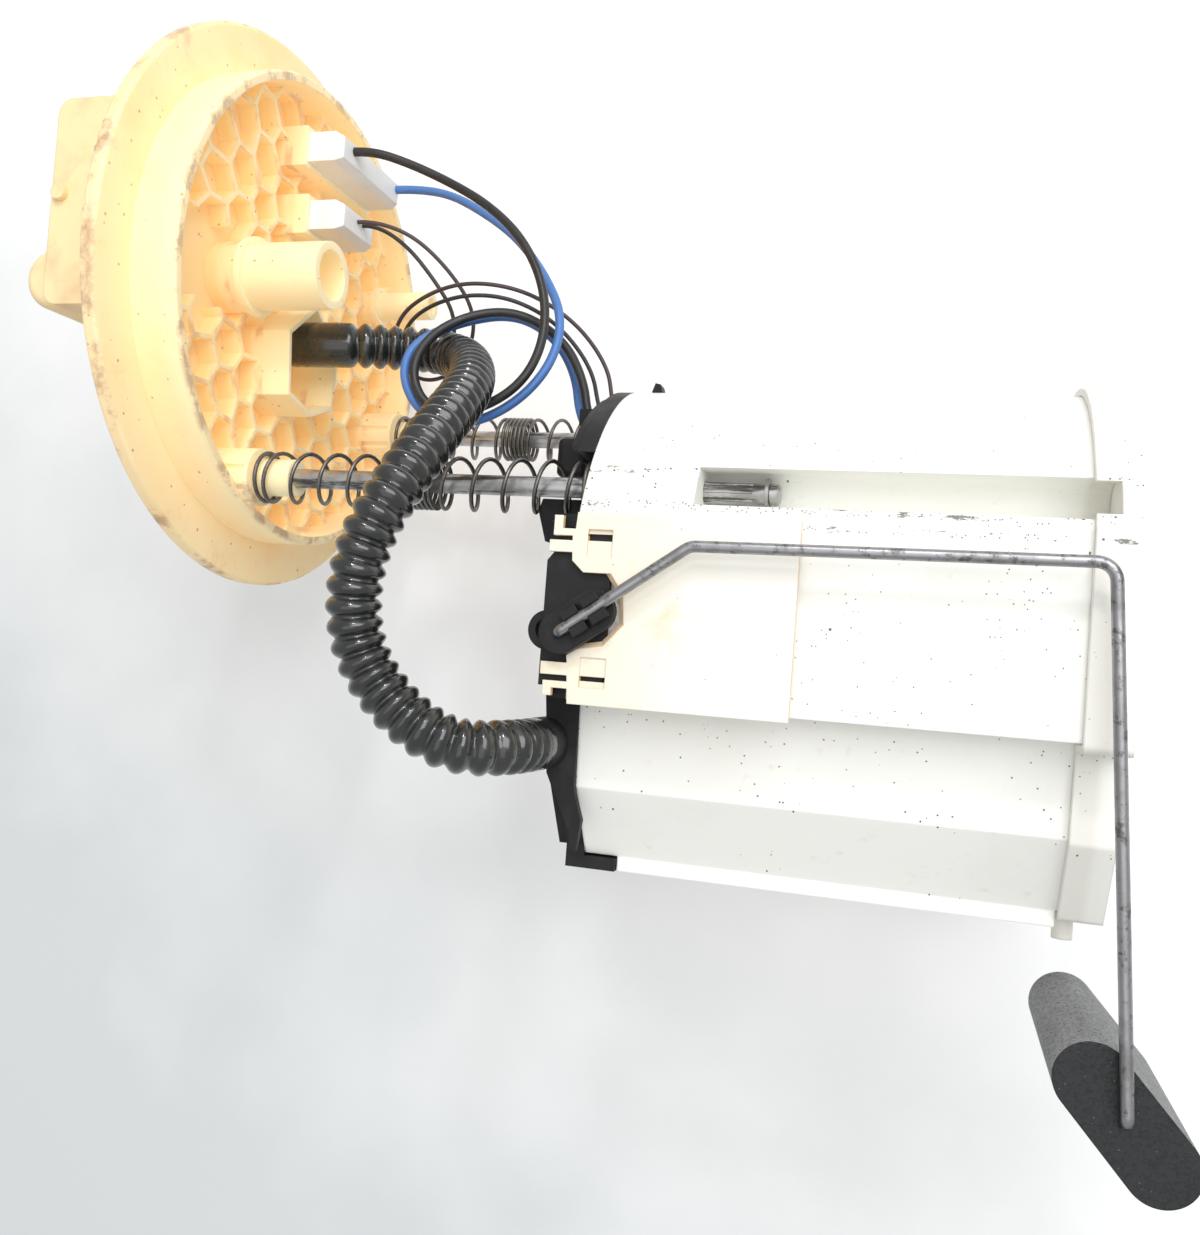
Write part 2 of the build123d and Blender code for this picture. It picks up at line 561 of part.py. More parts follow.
def wiper_contact():
    """Sprung contact strip on the hub's journal, sweeping the card."""
    px, pz = arm_pivot
    y = (-36.6, -36.0)
    disc = bar_y(arm_pivot, journal_r + 0.6, y[0], y[1]) - bar_y(arm_pivot, journal_r - 0.6, y[0] - 1, y[1] + 1)
    strip = block((px - 0.8, px + 0.8), y, (pz + 1.9, pz + 3.7))
    tip = bar_y((px, pz + 3.1), 0.5, y[1], housing_back_y - 1.45)
    return disc + strip + tip


def wiper_hub():
    """Black hub, a capsule along the arm's wire with gripping cheeks, turning on its journal in the housing."""
    px, pz = arm_pivot
    d = Vector(arm_points[0][0] - px, 0, arm_points[0][1] - pz)
    tilt = math.degrees(math.atan2(-d.Z, d.X))
    lie = Pos(px, 0, pz) * Rot(0, tilt, 0)
    hub = bar_y(arm_pivot, hub_r, hub_back_y - 2.6, hub_back_y)
    hub += lie * bar_y((hub_long, 0), hub_r, hub_back_y - 2.6, hub_back_y)
    hub += lie * block((0, hub_long), (hub_back_y - 2.6, hub_back_y), (-hub_r, hub_r))
    hub += bar_y(arm_pivot, journal_r, hub_back_y, -35.4 - 1.2)
    hub += bar_y(arm_pivot, journal_r - 0.65, -36.6, -35.9)
    # cheeks that grip the wire
    for side in (-1, 1):
        for x in ((2.8, 6.9), (8.1, 12.4)):
            hub += lie * block(x, (arm_y - arm_r * 0.75, hub_back_y), (side * (arm_r - 0.2), side * (arm_r + 1.9)))
    return hub - arm_wire(0.02)


def arm_wire(extra=0.0):
    """Bent wire of the float arm: hooked into the hub, two elbows, then into the float."""
    px, pz = arm_pivot
    pts = [(px, arm_y + 3.4, pz), (px, arm_y, pz)] + [(x, arm_y, z) for x, z in arm_points]
    pts.append((arm_points[-1][0], arm_y + float_len * 0.75, arm_points[-1][1]))
    path = FilletPolyline(*pts, radius=[1.7, arm_bend, arm_bend, 1.8])
    start = Plane(origin=path @ 0, z_dir=path % 0)
    return sweep(start * Circle(arm_r + extra), path=path)


def float_body():
    """Closed-cell float: a stadium prism with a bore for the wire."""
    lie = Pos(float_c[0], float_front_y, float_c[1]) * Rot(0, -(90 - float_tilt), 0)
    face = Plane.XZ * SlotOverall(float_long, float_wide)
    body = lie * extrude(face, amount=-float_len)
    return body - arm_wire(0.02)


# ---------------------------------------------------------------- plugs, hose and wires
def plug(name, exits):
    """White plug on its pedestal, tapering towards the wires."""
    x, y = plug_places[name]
    w, l = plug_wide[name], plug_long[name]
    body = loft([Pos(x, y, plug_z[1]) * Rectangle(w, l), Pos(x, y, plug_z[0] + 2.5) * Rectangle(w, l),
                 Pos(x, y, plug_z[0]) * Rectangle(w - 2.4, l - 2.0)], ruled=True)
    return body


plug_end_z = plug_z[0] - 0.05
grommet_end_z = grommet_z[1] + 0.05
hose_route = [(-9.0, -5.0, cuff_top_z), (-9.0, -5.0, -24.0), (-7.4, 4.0, -36.0), (-7.6, 7.5, -49.5),
              (-13.5, -4.0, -63.5), (-26.0, -27.0, -74.0), (-41.5, -49.0, -75.5), (-56.0, -61.5, -73.0),
              (-69.0, -65.5, -68.0), (-83.0, -65.0, -65.6), (-96.0, -62.5, -68.0), (-107.0, -61.0, -77.5),
              (-113.5, -59.5, -89.5), (nipple_xz[0], -51.5, nipple_xz[1]),
              (nipple_xz[0], nipple_y - 0.05, nipple_xz[1])]
black_route = [(47.3, -3.0, plug_end_z), (47.3, -3.0, -27.5), (44.6, -0.6, -37.5), (39.3, 1.0, -50.0),
               (31.5, 0.0, -63.5), (20.5, -2.5, -75.5), (6.0, -4.8, -83.6), (-9.5, -7.0, -85.2),
               (-22.0, -9.6, -80.0), (-29.6, -12.0, -67.5), (-28.8, -13.4, -55.5), (-18.5, -13.4, -49.8),
               (-7.5, -10.5, -53.5), (-0.3, -5.5, -64.5), (1.4, 0.5, -75.5), (-5.0, 6.0, -86.6),
               (-15.5, 9.0, -92.0), (-25.0, 10.2, -93.4), (-30.5, 10.8, -97.4),
               (-30.5, 10.8, grommet_end_z)]
blue_route = [(47.4, 24.0, plug_end_z), (47.4, 24.0, -28.0), (44.4, 21.4, -41.0), (36.0, 15.0, -55.0),
              (26.0, 9.0, -68.6), (13.6, 3.6, -79.6), (-0.5, -1.8, -88.2), (-14.0, -4.2, -87.0),
              (-25.5, -6.8, -78.6), (-32.4, -9.3, -66.0), (-30.0, -10.6, -53.0), (-19.5, -10.2, -45.8),
              (-9.0, -8.0, -47.4), (-1.6, -2.5, -60.0), (2.2, 4.5, -72.0), (-2.5, 10.4, -82.0),
              (-12.5, 13.6, -88.0), (-24.0, 14.6, -89.6), (-31.0, 14.9, -94.6),
              (-31.0, 14.9, grommet_end_z)]
signal_route = [(28.9, 5.0, plug_end_z), (28.9, 5.0, -26.8), (23.6, 8.4, -35.5), (14.2, 12.0, -43.4),
                (6.2, 14.6, -48.6), (-1.6, 17.4, -48.4), (-9.0, 20.0, -43.5), (-10.0, 20.6, -35.0),
                (-4.2, 17.6, -30.8), (2.6, 12.0, -35.4), (6.7, 7.6, -45.6), (8.6, 5.6, -58.0),
                (7.4, 7.4, -70.4), (1.8, 12.4, -82.0), (-9.5, 17.4, -91.4), (-20.5, 19.6, -93.6),
                (-27.6, 17.2, -97.0), (-27.6, 17.2, grommet_end_z)]
ground_route = [(28.9, 2.0, plug_end_z), (28.9, 2.0, -28.0), (25.4, 5.4, -39.0), (16.5, 11.4, -48.6),
                (7.0, 16.2, -54.4), (-2.5, 20.0, -53.0), (-11.2, 23.0, -45.0), (-12.4, 23.4, -34.6),
                (-4.8, 20.0, -27.0), (4.6, 13.0, -31.6), (10.2, 8.0, -44.0), (12.2, 5.6, -58.0),
                (10.4, 9.4, -73.0), (3.4, 16.0, -86.0), (-8.0, 20.6, -95.0), (-18.5, 17.8, -98.0),
                (-25.0, 14.4, -99.4), (-25.0, 14.4, grommet_end_z)]


def grommet():
    """Rubber bung where the four wires pass through the cover."""
    x, y = wire_hole_xy
    plain = post((x, y), wire_hole_r - 0.02, *grommet_z)
    return plain


# ---------------------------------------------------------------- pump and filter
def pump_can():
    """Steel can of the electric pump."""
    return pipe(res_c, pump_r, pump_r - pump_wall, pump_z[0], pump_z[1])


def pump_cover(z_low, z_high, spout_r, spout_z):
    """End cover in the can, with the shaft's bearing and one port."""
    cover = post(res_c, pump_r - pump_wall, z_low, z_high)
    cover += post(res_c, spout_r, *sorted(spout_z))
    port = (res_c[0] + 12.0, res_c[1])
    return cover - post(port, 2.2, z_low - 1, z_high + 1)


def pump_armature():
    """Shaft with the wound core."""
    x, y = res_c
    low, high = pump_z[0] + 2.5, pump_z[1] - 2.5
    return post(res_c, shaft_r, low, high) + post(res_c, core_r, pump_z[0] + 22.0, pump_z[1] - 20.0) + post(
        res_c, 5.0, pump_z[1] - 18.0, pump_z[1] - 12.0)


def pump_impeller():
    """Turbine wheel with a row of vanes on its rim."""
    low = pump_z[0] + pump_cover_t + 0.8
    wheel = post(res_c, impeller_r, low, low + 3.4) - post(res_c, shaft_r, low - 1, low + 5)
    for k in range(18):
        a = 2 * math.pi * k / 18
        wheel -= Pos(*res_c) * Rot(0, 0, math.degrees(a)) * block((impeller_r - 2.6, impeller_r + 1), (-0.7, 0.7),
                                                                  (low - 1, low + 5))
    return wheel


def pump_magnets():
    """Two magnet shells lining the can."""
    r_out = pump_r - pump_wall - 0.05
    ring = pipe(res_c, r_out, r_out - 4.0, pump_z[0] + 20.0, pump_z[1] - 20.0)
    slot = Pos(res_c[0], res_c[1], (pump_z[0] + pump_z[1]) / 2) * Box(60, 8, 80)
    return ring - slot


def fuel_filter():
    """Ring-shaped filter cartridge round the pump, hung from the cover."""
    body = pipe(res_c, filter_r, filter_bore_r, filter_end_z, res_top_z)
    return fillet(body.edges().filter_by(GeomType.CIRCLE).sort_by(Axis.Z)[0:2], 1.5)


# ---------------------------------------------------------------- write every piece
put(flange(), "flange")
put(connector_housing(), "connector_housing")
put(terminals(), "connector_blades")
for side in rod_xy:
    put(guide_rod(rod_xy[side]), f"{side}_guide_rod")
    put(spring(side), f"{side}_spring")
put(Compound(children=[rod_clip(xy) for xy in rod_xy.values()]), "rod_clips")
put(plug("pump", 2), "pump_plug")
put(plug("sensor", 2), "sensor_plug")
put(cord(hose_route, hose_r, hose_bore_r, "fuel_hose"), "fuel_hose")
put(cord(black_route, pump_wire_r, name="pump_wire_black"), "pump_wire_black")
put(cord(blue_route, pump_wire_r, name="pump_wire_blue"), "pump_wire_blue")
put(cord(signal_route, sensor_wire_r, name="sensor_wire_signal"), "sensor_wire_signal")
put(cord(ground_route, sensor_wire_r, name="sensor_wire_ground"), "sensor_wire_ground")

put(reservoir(), "reservoir")
put(reservoir_base(), "reservoir_base")
put(reservoir_cap(), "reservoir_cap")
put(cap_lid(), "cap_lid")
put(grommet(), "wire_grommet")
put(sensor_bracket(), "sensor_bracket")
put(sensor_housing(), "sensor_housing")
put(resistor_card(), "resistor_card")

put(wiper_contact(), "wiper_contact")
put(wiper_hub(), "wiper_hub")
put(arm_wire(), "float_arm_wire")
put(float_body(), "float")

bearing = post(res_c, shaft_r + shaft_gap, pump_z[0] + 2.0, pump_z[1] - 2.0)
put(pump_can(), "pump_can")
put(pump_cover(pump_z[0], pump_z[0] + pump_cover_t, 5.0, (pump_z[0], pump_z[0] - 5.0)) - bearing,
    "pump_inlet_cover")
put(pump_cover(pump_z[1] - pump_cover_t, pump_z[1], 4.0, (pump_z[1], pump_z[1] + 16.0)) - bearing,
    "pump_outlet_cover")
put(pump_magnets(), "pump_magnets")
put(pump_armature(), "pump_armature")
put(pump_impeller(), "pump_impeller")
put(pipe(res_c, pump_r + 2.5, pump_r + 0.02, pump_z[0] + 2.0, pump_z[0] + 16.0), "pump_isolator")
put(fuel_filter(), "fuel_filter")
put(pipe(res_c, pump_r + 1.5, 4.0, res_end_z + 0.05, pump_z[0] - 5.02), "inlet_strainer")
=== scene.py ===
"""Looks of an in-tank fuel pump module: finishes, hose, leads, springs and stage."""

import json
import logging
import math
from dataclasses import dataclass
from enum import Enum
from functools import reduce
from typing import Iterable, Sequence

import bpy
from mathutils import Matrix, Vector

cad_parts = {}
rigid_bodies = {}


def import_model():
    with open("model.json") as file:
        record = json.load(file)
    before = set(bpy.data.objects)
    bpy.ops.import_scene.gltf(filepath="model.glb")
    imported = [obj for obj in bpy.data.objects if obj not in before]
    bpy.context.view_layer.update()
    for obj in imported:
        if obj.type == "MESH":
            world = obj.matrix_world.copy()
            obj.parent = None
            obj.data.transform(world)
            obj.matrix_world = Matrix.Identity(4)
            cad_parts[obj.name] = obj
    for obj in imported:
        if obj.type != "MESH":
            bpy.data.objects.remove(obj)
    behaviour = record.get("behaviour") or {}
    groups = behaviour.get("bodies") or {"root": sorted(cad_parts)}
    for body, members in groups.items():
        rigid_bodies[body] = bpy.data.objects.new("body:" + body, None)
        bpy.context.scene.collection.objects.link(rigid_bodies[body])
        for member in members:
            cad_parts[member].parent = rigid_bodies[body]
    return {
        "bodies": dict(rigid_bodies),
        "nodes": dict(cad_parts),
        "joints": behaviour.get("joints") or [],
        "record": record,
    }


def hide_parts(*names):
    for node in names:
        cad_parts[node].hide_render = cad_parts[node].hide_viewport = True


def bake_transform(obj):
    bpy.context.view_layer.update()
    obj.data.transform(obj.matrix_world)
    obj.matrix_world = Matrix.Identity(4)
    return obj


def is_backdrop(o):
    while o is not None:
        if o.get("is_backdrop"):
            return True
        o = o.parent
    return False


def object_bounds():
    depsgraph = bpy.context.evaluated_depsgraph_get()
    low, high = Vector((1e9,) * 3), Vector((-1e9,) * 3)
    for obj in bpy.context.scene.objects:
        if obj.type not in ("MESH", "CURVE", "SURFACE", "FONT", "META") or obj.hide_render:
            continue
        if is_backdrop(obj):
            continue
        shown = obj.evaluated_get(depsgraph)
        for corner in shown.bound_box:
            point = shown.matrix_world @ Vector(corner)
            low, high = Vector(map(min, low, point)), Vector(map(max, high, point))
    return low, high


log = logging.getLogger("fuel_pump_module")
MM = 0.001
Colour = tuple[float, float, float]
Point = tuple[float, float, float]
Socket = bpy.types.NodeSocket

# Factors on the coordinates of a pattern; a small one draws it out along its axis.
EVEN: Point = (1.0, 1.0, 1.0)
DRAWN_OUT_ALONG_Y: Point = (1.0, 0.08, 1.0)
# How far red, green and blue light scatters in milky plastic, as shares of its depth.
MILK_REACH: Colour = (1.0, 0.75, 0.45)
# Radius of the smallest dots and of a dot's fully dark core, as shares of the whole radius.
SMALLEST_DOT = 0.30
DOT_CORE = 0.65
# Values of a noise between which the roughness runs.
NOISE_RANGE = (0.3, 0.7)
BUMP_STRENGTH = 0.6
BEVEL_SAMPLES = 4


# ------------------------------------------------------------------ node trees
class Graph:
    """Node tree, with short calls to add its nodes and feed their sockets."""

    def __init__(self, tree: bpy.types.NodeTree) -> None:
        """Work on a tree."""
        self.tree = tree

    def add(self, kind: str, **options: object) -> bpy.types.Node:
        """Add a node.

        Args:
            kind: the node's type.
            options: its properties.

        Returns:
            The node.
        """
        node = self.tree.nodes.new(kind)
        for key, value in options.items():
            setattr(node, key, value)
        return node

    def feed(self, target: Socket, value: Socket | float | tuple) -> None:
        """Link a socket to another one, or give it a fixed value."""
        if isinstance(value, Socket):
            self.tree.links.new(value, target)
        else:
            target.default_value = value

    def maths(self, operation: str, *values: Socket | float) -> Socket:
        """Arithmetic on sockets and numbers, in the operation's own order."""
        node = self.add("ShaderNodeMath", operation=operation)
        for target, value in zip(node.inputs, values):
            self.feed(target, value)
        return node.outputs[0]

    def product(self, *values: Socket | float) -> Socket:
        """Product of masks and numbers."""
        return reduce(lambda a, b: self.maths("MULTIPLY", a, b), values)

    def largest(self, *values: Socket | float) -> Socket:
        """Largest of masks and numbers."""
        return reduce(lambda a, b: self.maths("MAXIMUM", a, b), values)

    def mix_shaders(self, share: Socket | float, under: Socket, over: Socket) -> Socket:
        """Mix two surfaces: under where share is 0, over where it is 1."""
        node = self.add("ShaderNodeMixShader")
        for target, value in zip(node.inputs, (share, under, over)):
            self.feed(target, value)
        return node.outputs[0]


# ------------------------------------------------------------------ patterns
@dataclass(frozen=True)
class Noise:
    """Cloudy noise: size of its largest clouds, finer octaves and how strong they are."""

    size_mm: float
    detail: float = 3.0
    rough: float = 0.55
    stretch: Point | None = None


@dataclass(frozen=True)
class Step:
    """Smooth step between two values, from one result to another."""

    low: float
    high: float
    before: float = 0.0
    after: float = 1.0


@dataclass(frozen=True)
class Band:
    """Range of a coordinate in millimetres, with the width over which it fades out."""

    low: float
    high: float
    soft: float


@dataclass(frozen=True)
class Dots:
    """Dots of mixed sizes, one in a share of the cells of an uneven grid."""

    pitch_mm: float
    radius_mm: float
    share: float = 1.0
    squeeze: Point = DRAWN_OUT_ALONG_Y


@dataclass(frozen=True)
class Skin:
    """Grain, softened edges, roughness and milkiness of a surface."""

    grain: Noise | None
    depth_mm: float
    rough: tuple[float, float]
    round_mm: float = 0.0
    milk: float = 0.0
    milk_mm: float = 3.0


class Shader(Graph):
    """Node tree of one material, with the patterns that the finishes need."""

    def __init__(self, name: str) -> None:
        """Start an empty material of this name."""
        self.material = bpy.data.materials.new(name)
        self.material.use_nodes = True
        super().__init__(self.material.node_tree)
        self.bsdf = self.tree.nodes["Principled BSDF"]
        self.place = self.add("ShaderNodeTexCoord").outputs["Object"]

    def surface(self, **values: Socket | float | tuple) -> None:
        """Feed inputs of the surface, named with underscores for spaces."""
        for key, value in values.items():
            self.feed(self.bsdf.inputs[key.replace("_", " ")], value)

    def stretched(self, scale: Point) -> Socket:
        """Object coordinates, scaled along each axis."""
        node = self.add("ShaderNodeMapping")
        node.inputs["Scale"].default_value = scale
        self.feed(node.inputs["Vector"], self.place)
        return node.outputs["Vector"]

    def axis(self, letter: str) -> Socket:
        """One object coordinate, in metres."""
        node = self.add("ShaderNodeSeparateXYZ")
        self.feed(node.inputs[0], self.place)
        return node.outputs[letter]

    def radius(self) -> Socket:
        """Distance from the Z axis, in metres."""
        node = self.add("ShaderNodeVectorMath", operation="LENGTH")
        self.feed(node.inputs[0], self.stretched((1.0, 1.0, 0.0)))
        return node.outputs["Value"]

    def facing(self, letter: str) -> Socket:
        """Size of one component of the surface's own normal, 0 to 1."""
        node = self.add("ShaderNodeSeparateXYZ")
        self.feed(node.inputs[0], self.add("ShaderNodeTexCoord").outputs["Normal"])
        return self.maths("ABSOLUTE", node.outputs[letter])

    def noise(self, spec: Noise) -> Socket:
        """Noise value, about 0.5 on average."""
        node = self.add("ShaderNodeTexNoise")
        node.inputs["Scale"].default_value = 1.0 / (spec.size_mm * MM)
        node.inputs["Detail"].default_value = spec.detail
        node.inputs["Roughness"].default_value = spec.rough
        place = self.stretched(spec.stretch) if spec.stretch else self.place
        self.feed(node.inputs["Vector"], place)
        return node.outputs["Fac"]

    def step(self, value: Socket, spec: Step, unit: float = 1.0) -> Socket:
        """Smooth step of a value.

        Args:
            value: what is compared.
            spec: the limits and the results.
            unit: unit of the limits, such as MM when the value is a coordinate.

        Returns:
            The stepped value.
        """
        node = self.add("ShaderNodeMapRange", interpolation_type="SMOOTHSTEP")
        self.feed(node.inputs["Value"], value)
        limits = (("From Min", spec.low * unit), ("From Max", spec.high * unit),
                  ("To Min", spec.before), ("To Max", spec.after))
        for key, number in limits:
            node.inputs[key].default_value = number
        return node.outputs["Result"]

    def clouds(self, noise: Noise, step: Step) -> Socket:
        """Mask of the clouds of a noise."""
        return self.step(self.noise(noise), step)

    def band(self, value: Socket, spec: Band) -> Socket:
        """Mask, 1 where a coordinate in metres is inside a band."""
        up = self.step(value, Step(spec.low - spec.soft, spec.low), MM)
        down = self.step(value, Step(spec.high, spec.high + spec.soft, 1.0, 0.0), MM)
        return self.product(up, down)

    def dots(self, spec: Dots, share: Socket | None = None) -> Socket:
        """Mask of dots.

        Args:
            spec: their sizes and how many cells hold one.
            share: share of the cells that hold one, where it varies over the surface.

        Returns:
            The mask, 1 in a dot.
        """
        node = self.add("ShaderNodeTexVoronoi")
        node.inputs["Scale"].default_value = 1.0 / (spec.pitch_mm * MM)
        self.feed(node.inputs["Vector"], self.stretched(spec.squeeze))
        split = self.add("ShaderNodeSeparateColor")
        self.feed(split.inputs[0], node.outputs["Color"])
        size = self.step(split.outputs[1], Step(0.0, 1.0, SMALLEST_DOT, 1.0))
        spread = self.maths("DIVIDE", node.outputs["Distance"], size)
        reach = spec.radius_mm / spec.pitch_mm
        spot = self.step(spread, Step(reach * DOT_CORE, reach, 1.0, 0.0))
        limit = spec.share if share is None else share
        return self.product(spot, self.maths("LESS_THAN", split.outputs[0], limit))

    def blend(self, under: Socket | Colour, over: Socket | Colour, share: Socket) -> Socket:
        """Mix two colours: under where share is 0, over where it is 1."""
        node = self.add("ShaderNodeMix", data_type="RGBA")
        self.feed(node.inputs["Factor"], share)
        for target, value in ((node.inputs[6], under), (node.inputs[7], over)):
            self.feed(target, (*value, 1.0) if isinstance(value, tuple) else value)
        return node.outputs[2]

    def relief(self, height: Socket, depth_mm: float, round_mm: float) -> None:
        """Bump the surface and soften its edges.

        Args:
            height: the height pattern, 0 to 1.
            depth_mm: how deep the pattern goes.
            round_mm: radius at which sharp edges catch light, or 0.
        """
        node = self.add("ShaderNodeBump")
        if round_mm:
            edge = self.add("ShaderNodeBevel", samples=BEVEL_SAMPLES)
            edge.inputs["Radius"].default_value = round_mm * MM
            self.feed(node.inputs["Normal"], edge.outputs["Normal"])
        node.inputs["Strength"].default_value = BUMP_STRENGTH
        node.inputs["Distance"].default_value = depth_mm * MM
        self.feed(node.inputs["Height"], height)
        self.surface(Normal=node.outputs["Normal"])

    def finish(self, colour: Socket, skin: Skin, dull: Socket,
               height: Socket | None = None) -> None:
        """Give the surface its colour and its skin.

        Args:
            colour: the colour.
            skin: the skin.
            dull: pattern that drives the roughness, a noise or a mask.
            height: pattern of the relief, where the skin has no grain of its own.
        """
        self.surface(Base_Color=colour)
        grain = self.noise(skin.grain) if height is None else height
        self.relief(grain, skin.depth_mm, skin.round_mm)
        self.surface(Roughness=self.step(dull, Step(*NOISE_RANGE, *skin.rough)))
        if skin.milk:
            self.surface(Subsurface_Weight=skin.milk, Subsurface_Radius=MILK_REACH,
                         Subsurface_Scale=skin.milk_mm * MM)


# ------------------------------------------------------------------ finishes
class Sheen(Enum):
    """How a surface catches light, as roughness."""

    GLOSS = 0.22
    SATIN = 0.38
    SEMI_MATTE = 0.52
    MATTE = 0.72

    def spread(self, less: float, more: float) -> tuple[float, float]:
        """Roughness range around this sheen."""
        return self.value - less, self.value + more


class Finish:
    """Look of one kind of surface."""

    def material(self, name: str) -> bpy.types.Material:
        """Build the material.

        Args:
            name: the material's name.

        Returns:
            The material.
        """
        shader = Shader(name)
        self.paint(shader)
        return shader.material

    def paint(self, shader: Shader) -> None:
        """Add the finish's nodes to an empty material."""
        raise NotImplementedError


@dataclass(frozen=True)
class Moulded(Finish):
    """Injection-moulded plastic or rubber with handling marks, stains and specks."""

    colour: Colour
    stain: Colour
    share: float = 0.5
    size_mm: float = 22.0
    sheen: Sheen = Sheen.SEMI_MATTE
    grain_mm: float = 0.6
    depth_mm: float = 0.03
    speck: Colour = (0.24, 0.14, 0.09)
    specks: Dots | None = None
    milky: float = 0.0
    round_mm: float = 0.0
    shine: float = 0.5

    def paint(self, shader: Shader) -> None:
        """Lay clouds of the stain, then specks."""
        clouds = shader.noise(Noise(self.size_mm, detail=5.0, rough=0.6))
        stained = shader.step(clouds, Step(low=0.42, high=0.75, after=self.share))
        colour = shader.blend(self.colour, self.stain, stained)
        if self.specks:
            colour = shader.blend(colour, self.speck, shader.dots(self.specks))
        skin = Skin(Noise(self.grain_mm, detail=2.0), self.depth_mm,
                    rough=self.sheen.spread(less=0.08, more=0.12), round_mm=self.round_mm,
                    milk=self.milky)
        shader.finish(colour, skin, clouds)
        shader.surface(Specular_IOR_Level=self.shine)


@dataclass(frozen=True)
class DottedBucket(Finish):
    """White bucket with soot-dark dots: scattered, in clusters, and in rows along its edges, and a
    band of painted shade at its foot.

    Limits of a coordinate are in millimetres.
    """

    colour: Colour = (0.93, 0.93, 0.88)
    shade: Colour = (0.86, 0.86, 0.79)
    # Colour of real smears, also used for the painted shade at the foot.
    smear_and_foot_shade: Colour = (0.66, 0.60, 0.50)
    soot: Colour = (0.035, 0.032, 0.03)
    clouds: Noise = Noise(30.0, 4.0, 0.6)
    shaded: Step = Step(0.46, 0.78, after=0.45)
    smears: Noise = Noise(7.0, 4.0, 0.7)
    smeared: Step = Step(0.60, 0.74, after=0.35)
    # Painted shade: a darker band at the foot, where the wall curves out to the base.
    painted_foot_shade: Band = Band(-224.0, -221.0, soft=2.4)
    painted_foot_shade_share: float = 0.28
    front: Step = Step(-30.0, -24.0, before=1.0, after=0.12)
    flat_on: Step = Step(0.45, 0.75)
    groups: Noise = Noise(16.0, 2.0, 0.5)
    grouped: Step = Step(0.48, 0.66, before=0.035, after=0.20)
    rows: tuple[Band, ...] = (
        Band(-56.6, -54.8, soft=0.4), Band(-47.6, -46.2, soft=0.4), Band(-60.3, -59.2, soft=0.4))
    row_share: float = 0.8
    small: Dots = Dots(0.9, 0.34)
    large: Dots = Dots(2.4, 0.50)
    large_share: float = 0.25
    smudges: Noise = Noise(4.5, 6.0, 0.8, stretch=(1.6, 0.2, 0.5))
    smudged: Step = Step(0.57, 0.63, after=0.9)
    soot_share: float = 0.9
    skin: Skin = Skin(Noise(0.8, 2.0), 0.02, (0.40, 0.55), round_mm=0.8, milk=0.12)

    def paint(self, shader: Shader) -> None:
        """Lay the tints and a painted shade band at the foot, then dots and smudges on the faces at
        the front.
        """
        clouds = shader.noise(self.clouds)
        colour = shader.blend(self.colour, self.shade, shader.step(clouds, self.shaded))
        colour = shader.blend(colour, self.smear_and_foot_shade, shader.clouds(self.smears, self.smeared))
        # Painted shade at the foot of the bucket, in the smear colour.
        painted_foot_shade = shader.product(shader.band(shader.axis("Z"), self.painted_foot_shade), self.painted_foot_shade_share)
        colour = shader.blend(colour, self.smear_and_foot_shade, painted_foot_shade)
        front = shader.product(shader.step(shader.axis("Y"), self.front, MM),
                               shader.step(shader.facing("Y"), self.flat_on))
        rows = shader.largest(*(shader.band(shader.axis("X"), row) for row in self.rows))
        share = shader.largest(shader.clouds(self.groups, self.grouped),
                               shader.product(rows, self.row_share))
        share = shader.product(share, front)
        dots = shader.largest(
            shader.dots(self.small, share),
            shader.dots(self.large, shader.product(share, self.large_share)))
        smudge = shader.product(shader.clouds(self.smudges, self.smudged), rows, front)
        soot = shader.product(shader.largest(dots, smudge), self.soot_share)
        colour = shader.blend(colour, self.soot, soot)
        shader.finish(colour, self.skin, clouds)


@dataclass(frozen=True)
class NylonWithPaintedShade(Finish):
    """Natural nylon of the sender's bracket: cream on its face, with painted shade in peach in
    recesses and on bevels.

    Limits of a coordinate are in millimetres.
    """

    colour: Colour = (0.92, 0.90, 0.83)
    cream: Colour = (0.90, 0.83, 0.68)
    # Colour of the peach blotches, also used for the painted shade in recesses and on bevels.
    peach_and_painted_shade: Colour = (0.85, 0.56, 0.30)
    speck: Colour = (0.10, 0.08, 0.06)
    clouds: Noise = Noise(14.0, 5.0, 0.6)
    blotched: Step = Step(0.56, 0.74, after=0.5)
    cream_end: Step = Step(-150.0, -114.0)
    # Painted shade: peach on faces set back behind the bracket's face, and on faces turned away
    # from the front.
    painted_recess_shade: Step = Step(-43.45, -41.4, after=0.75)
    painted_bevel_shade: Step = Step(0.60, 0.98, before=0.8, after=0.0)
    specks: Dots = Dots(2.2, 0.35, 0.10)
    speck_share: float = 0.85
    skin: Skin = Skin(Noise(0.7, 2.0), 0.02, (0.40, 0.58), round_mm=0.35, milk=0.15, milk_mm=2.0)

    def paint(self, shader: Shader) -> None:
        """Lay cream at one end, painted shade in peach in recesses and on bevels, peach blotches,
        then specks.
        """
        clouds = shader.noise(self.clouds)
        colour = shader.blend(self.colour, self.cream,
                              shader.step(shader.axis("Z"), self.cream_end, MM))
        # Painted shade in peach in recesses and on bevels, together with peach blotches.
        peach_blotches_and_painted_shade = shader.largest(shader.step(shader.axis("Y"), self.painted_recess_shade, MM),
                              shader.step(shader.facing("Y"), self.painted_bevel_shade),
                              shader.step(clouds, self.blotched))
        colour = shader.blend(colour, self.peach_and_painted_shade, peach_blotches_and_painted_shade)
        specks = shader.product(shader.dots(self.specks), self.speck_share)
        colour = shader.blend(colour, self.speck, specks)
        shader.finish(colour, self.skin, clouds)


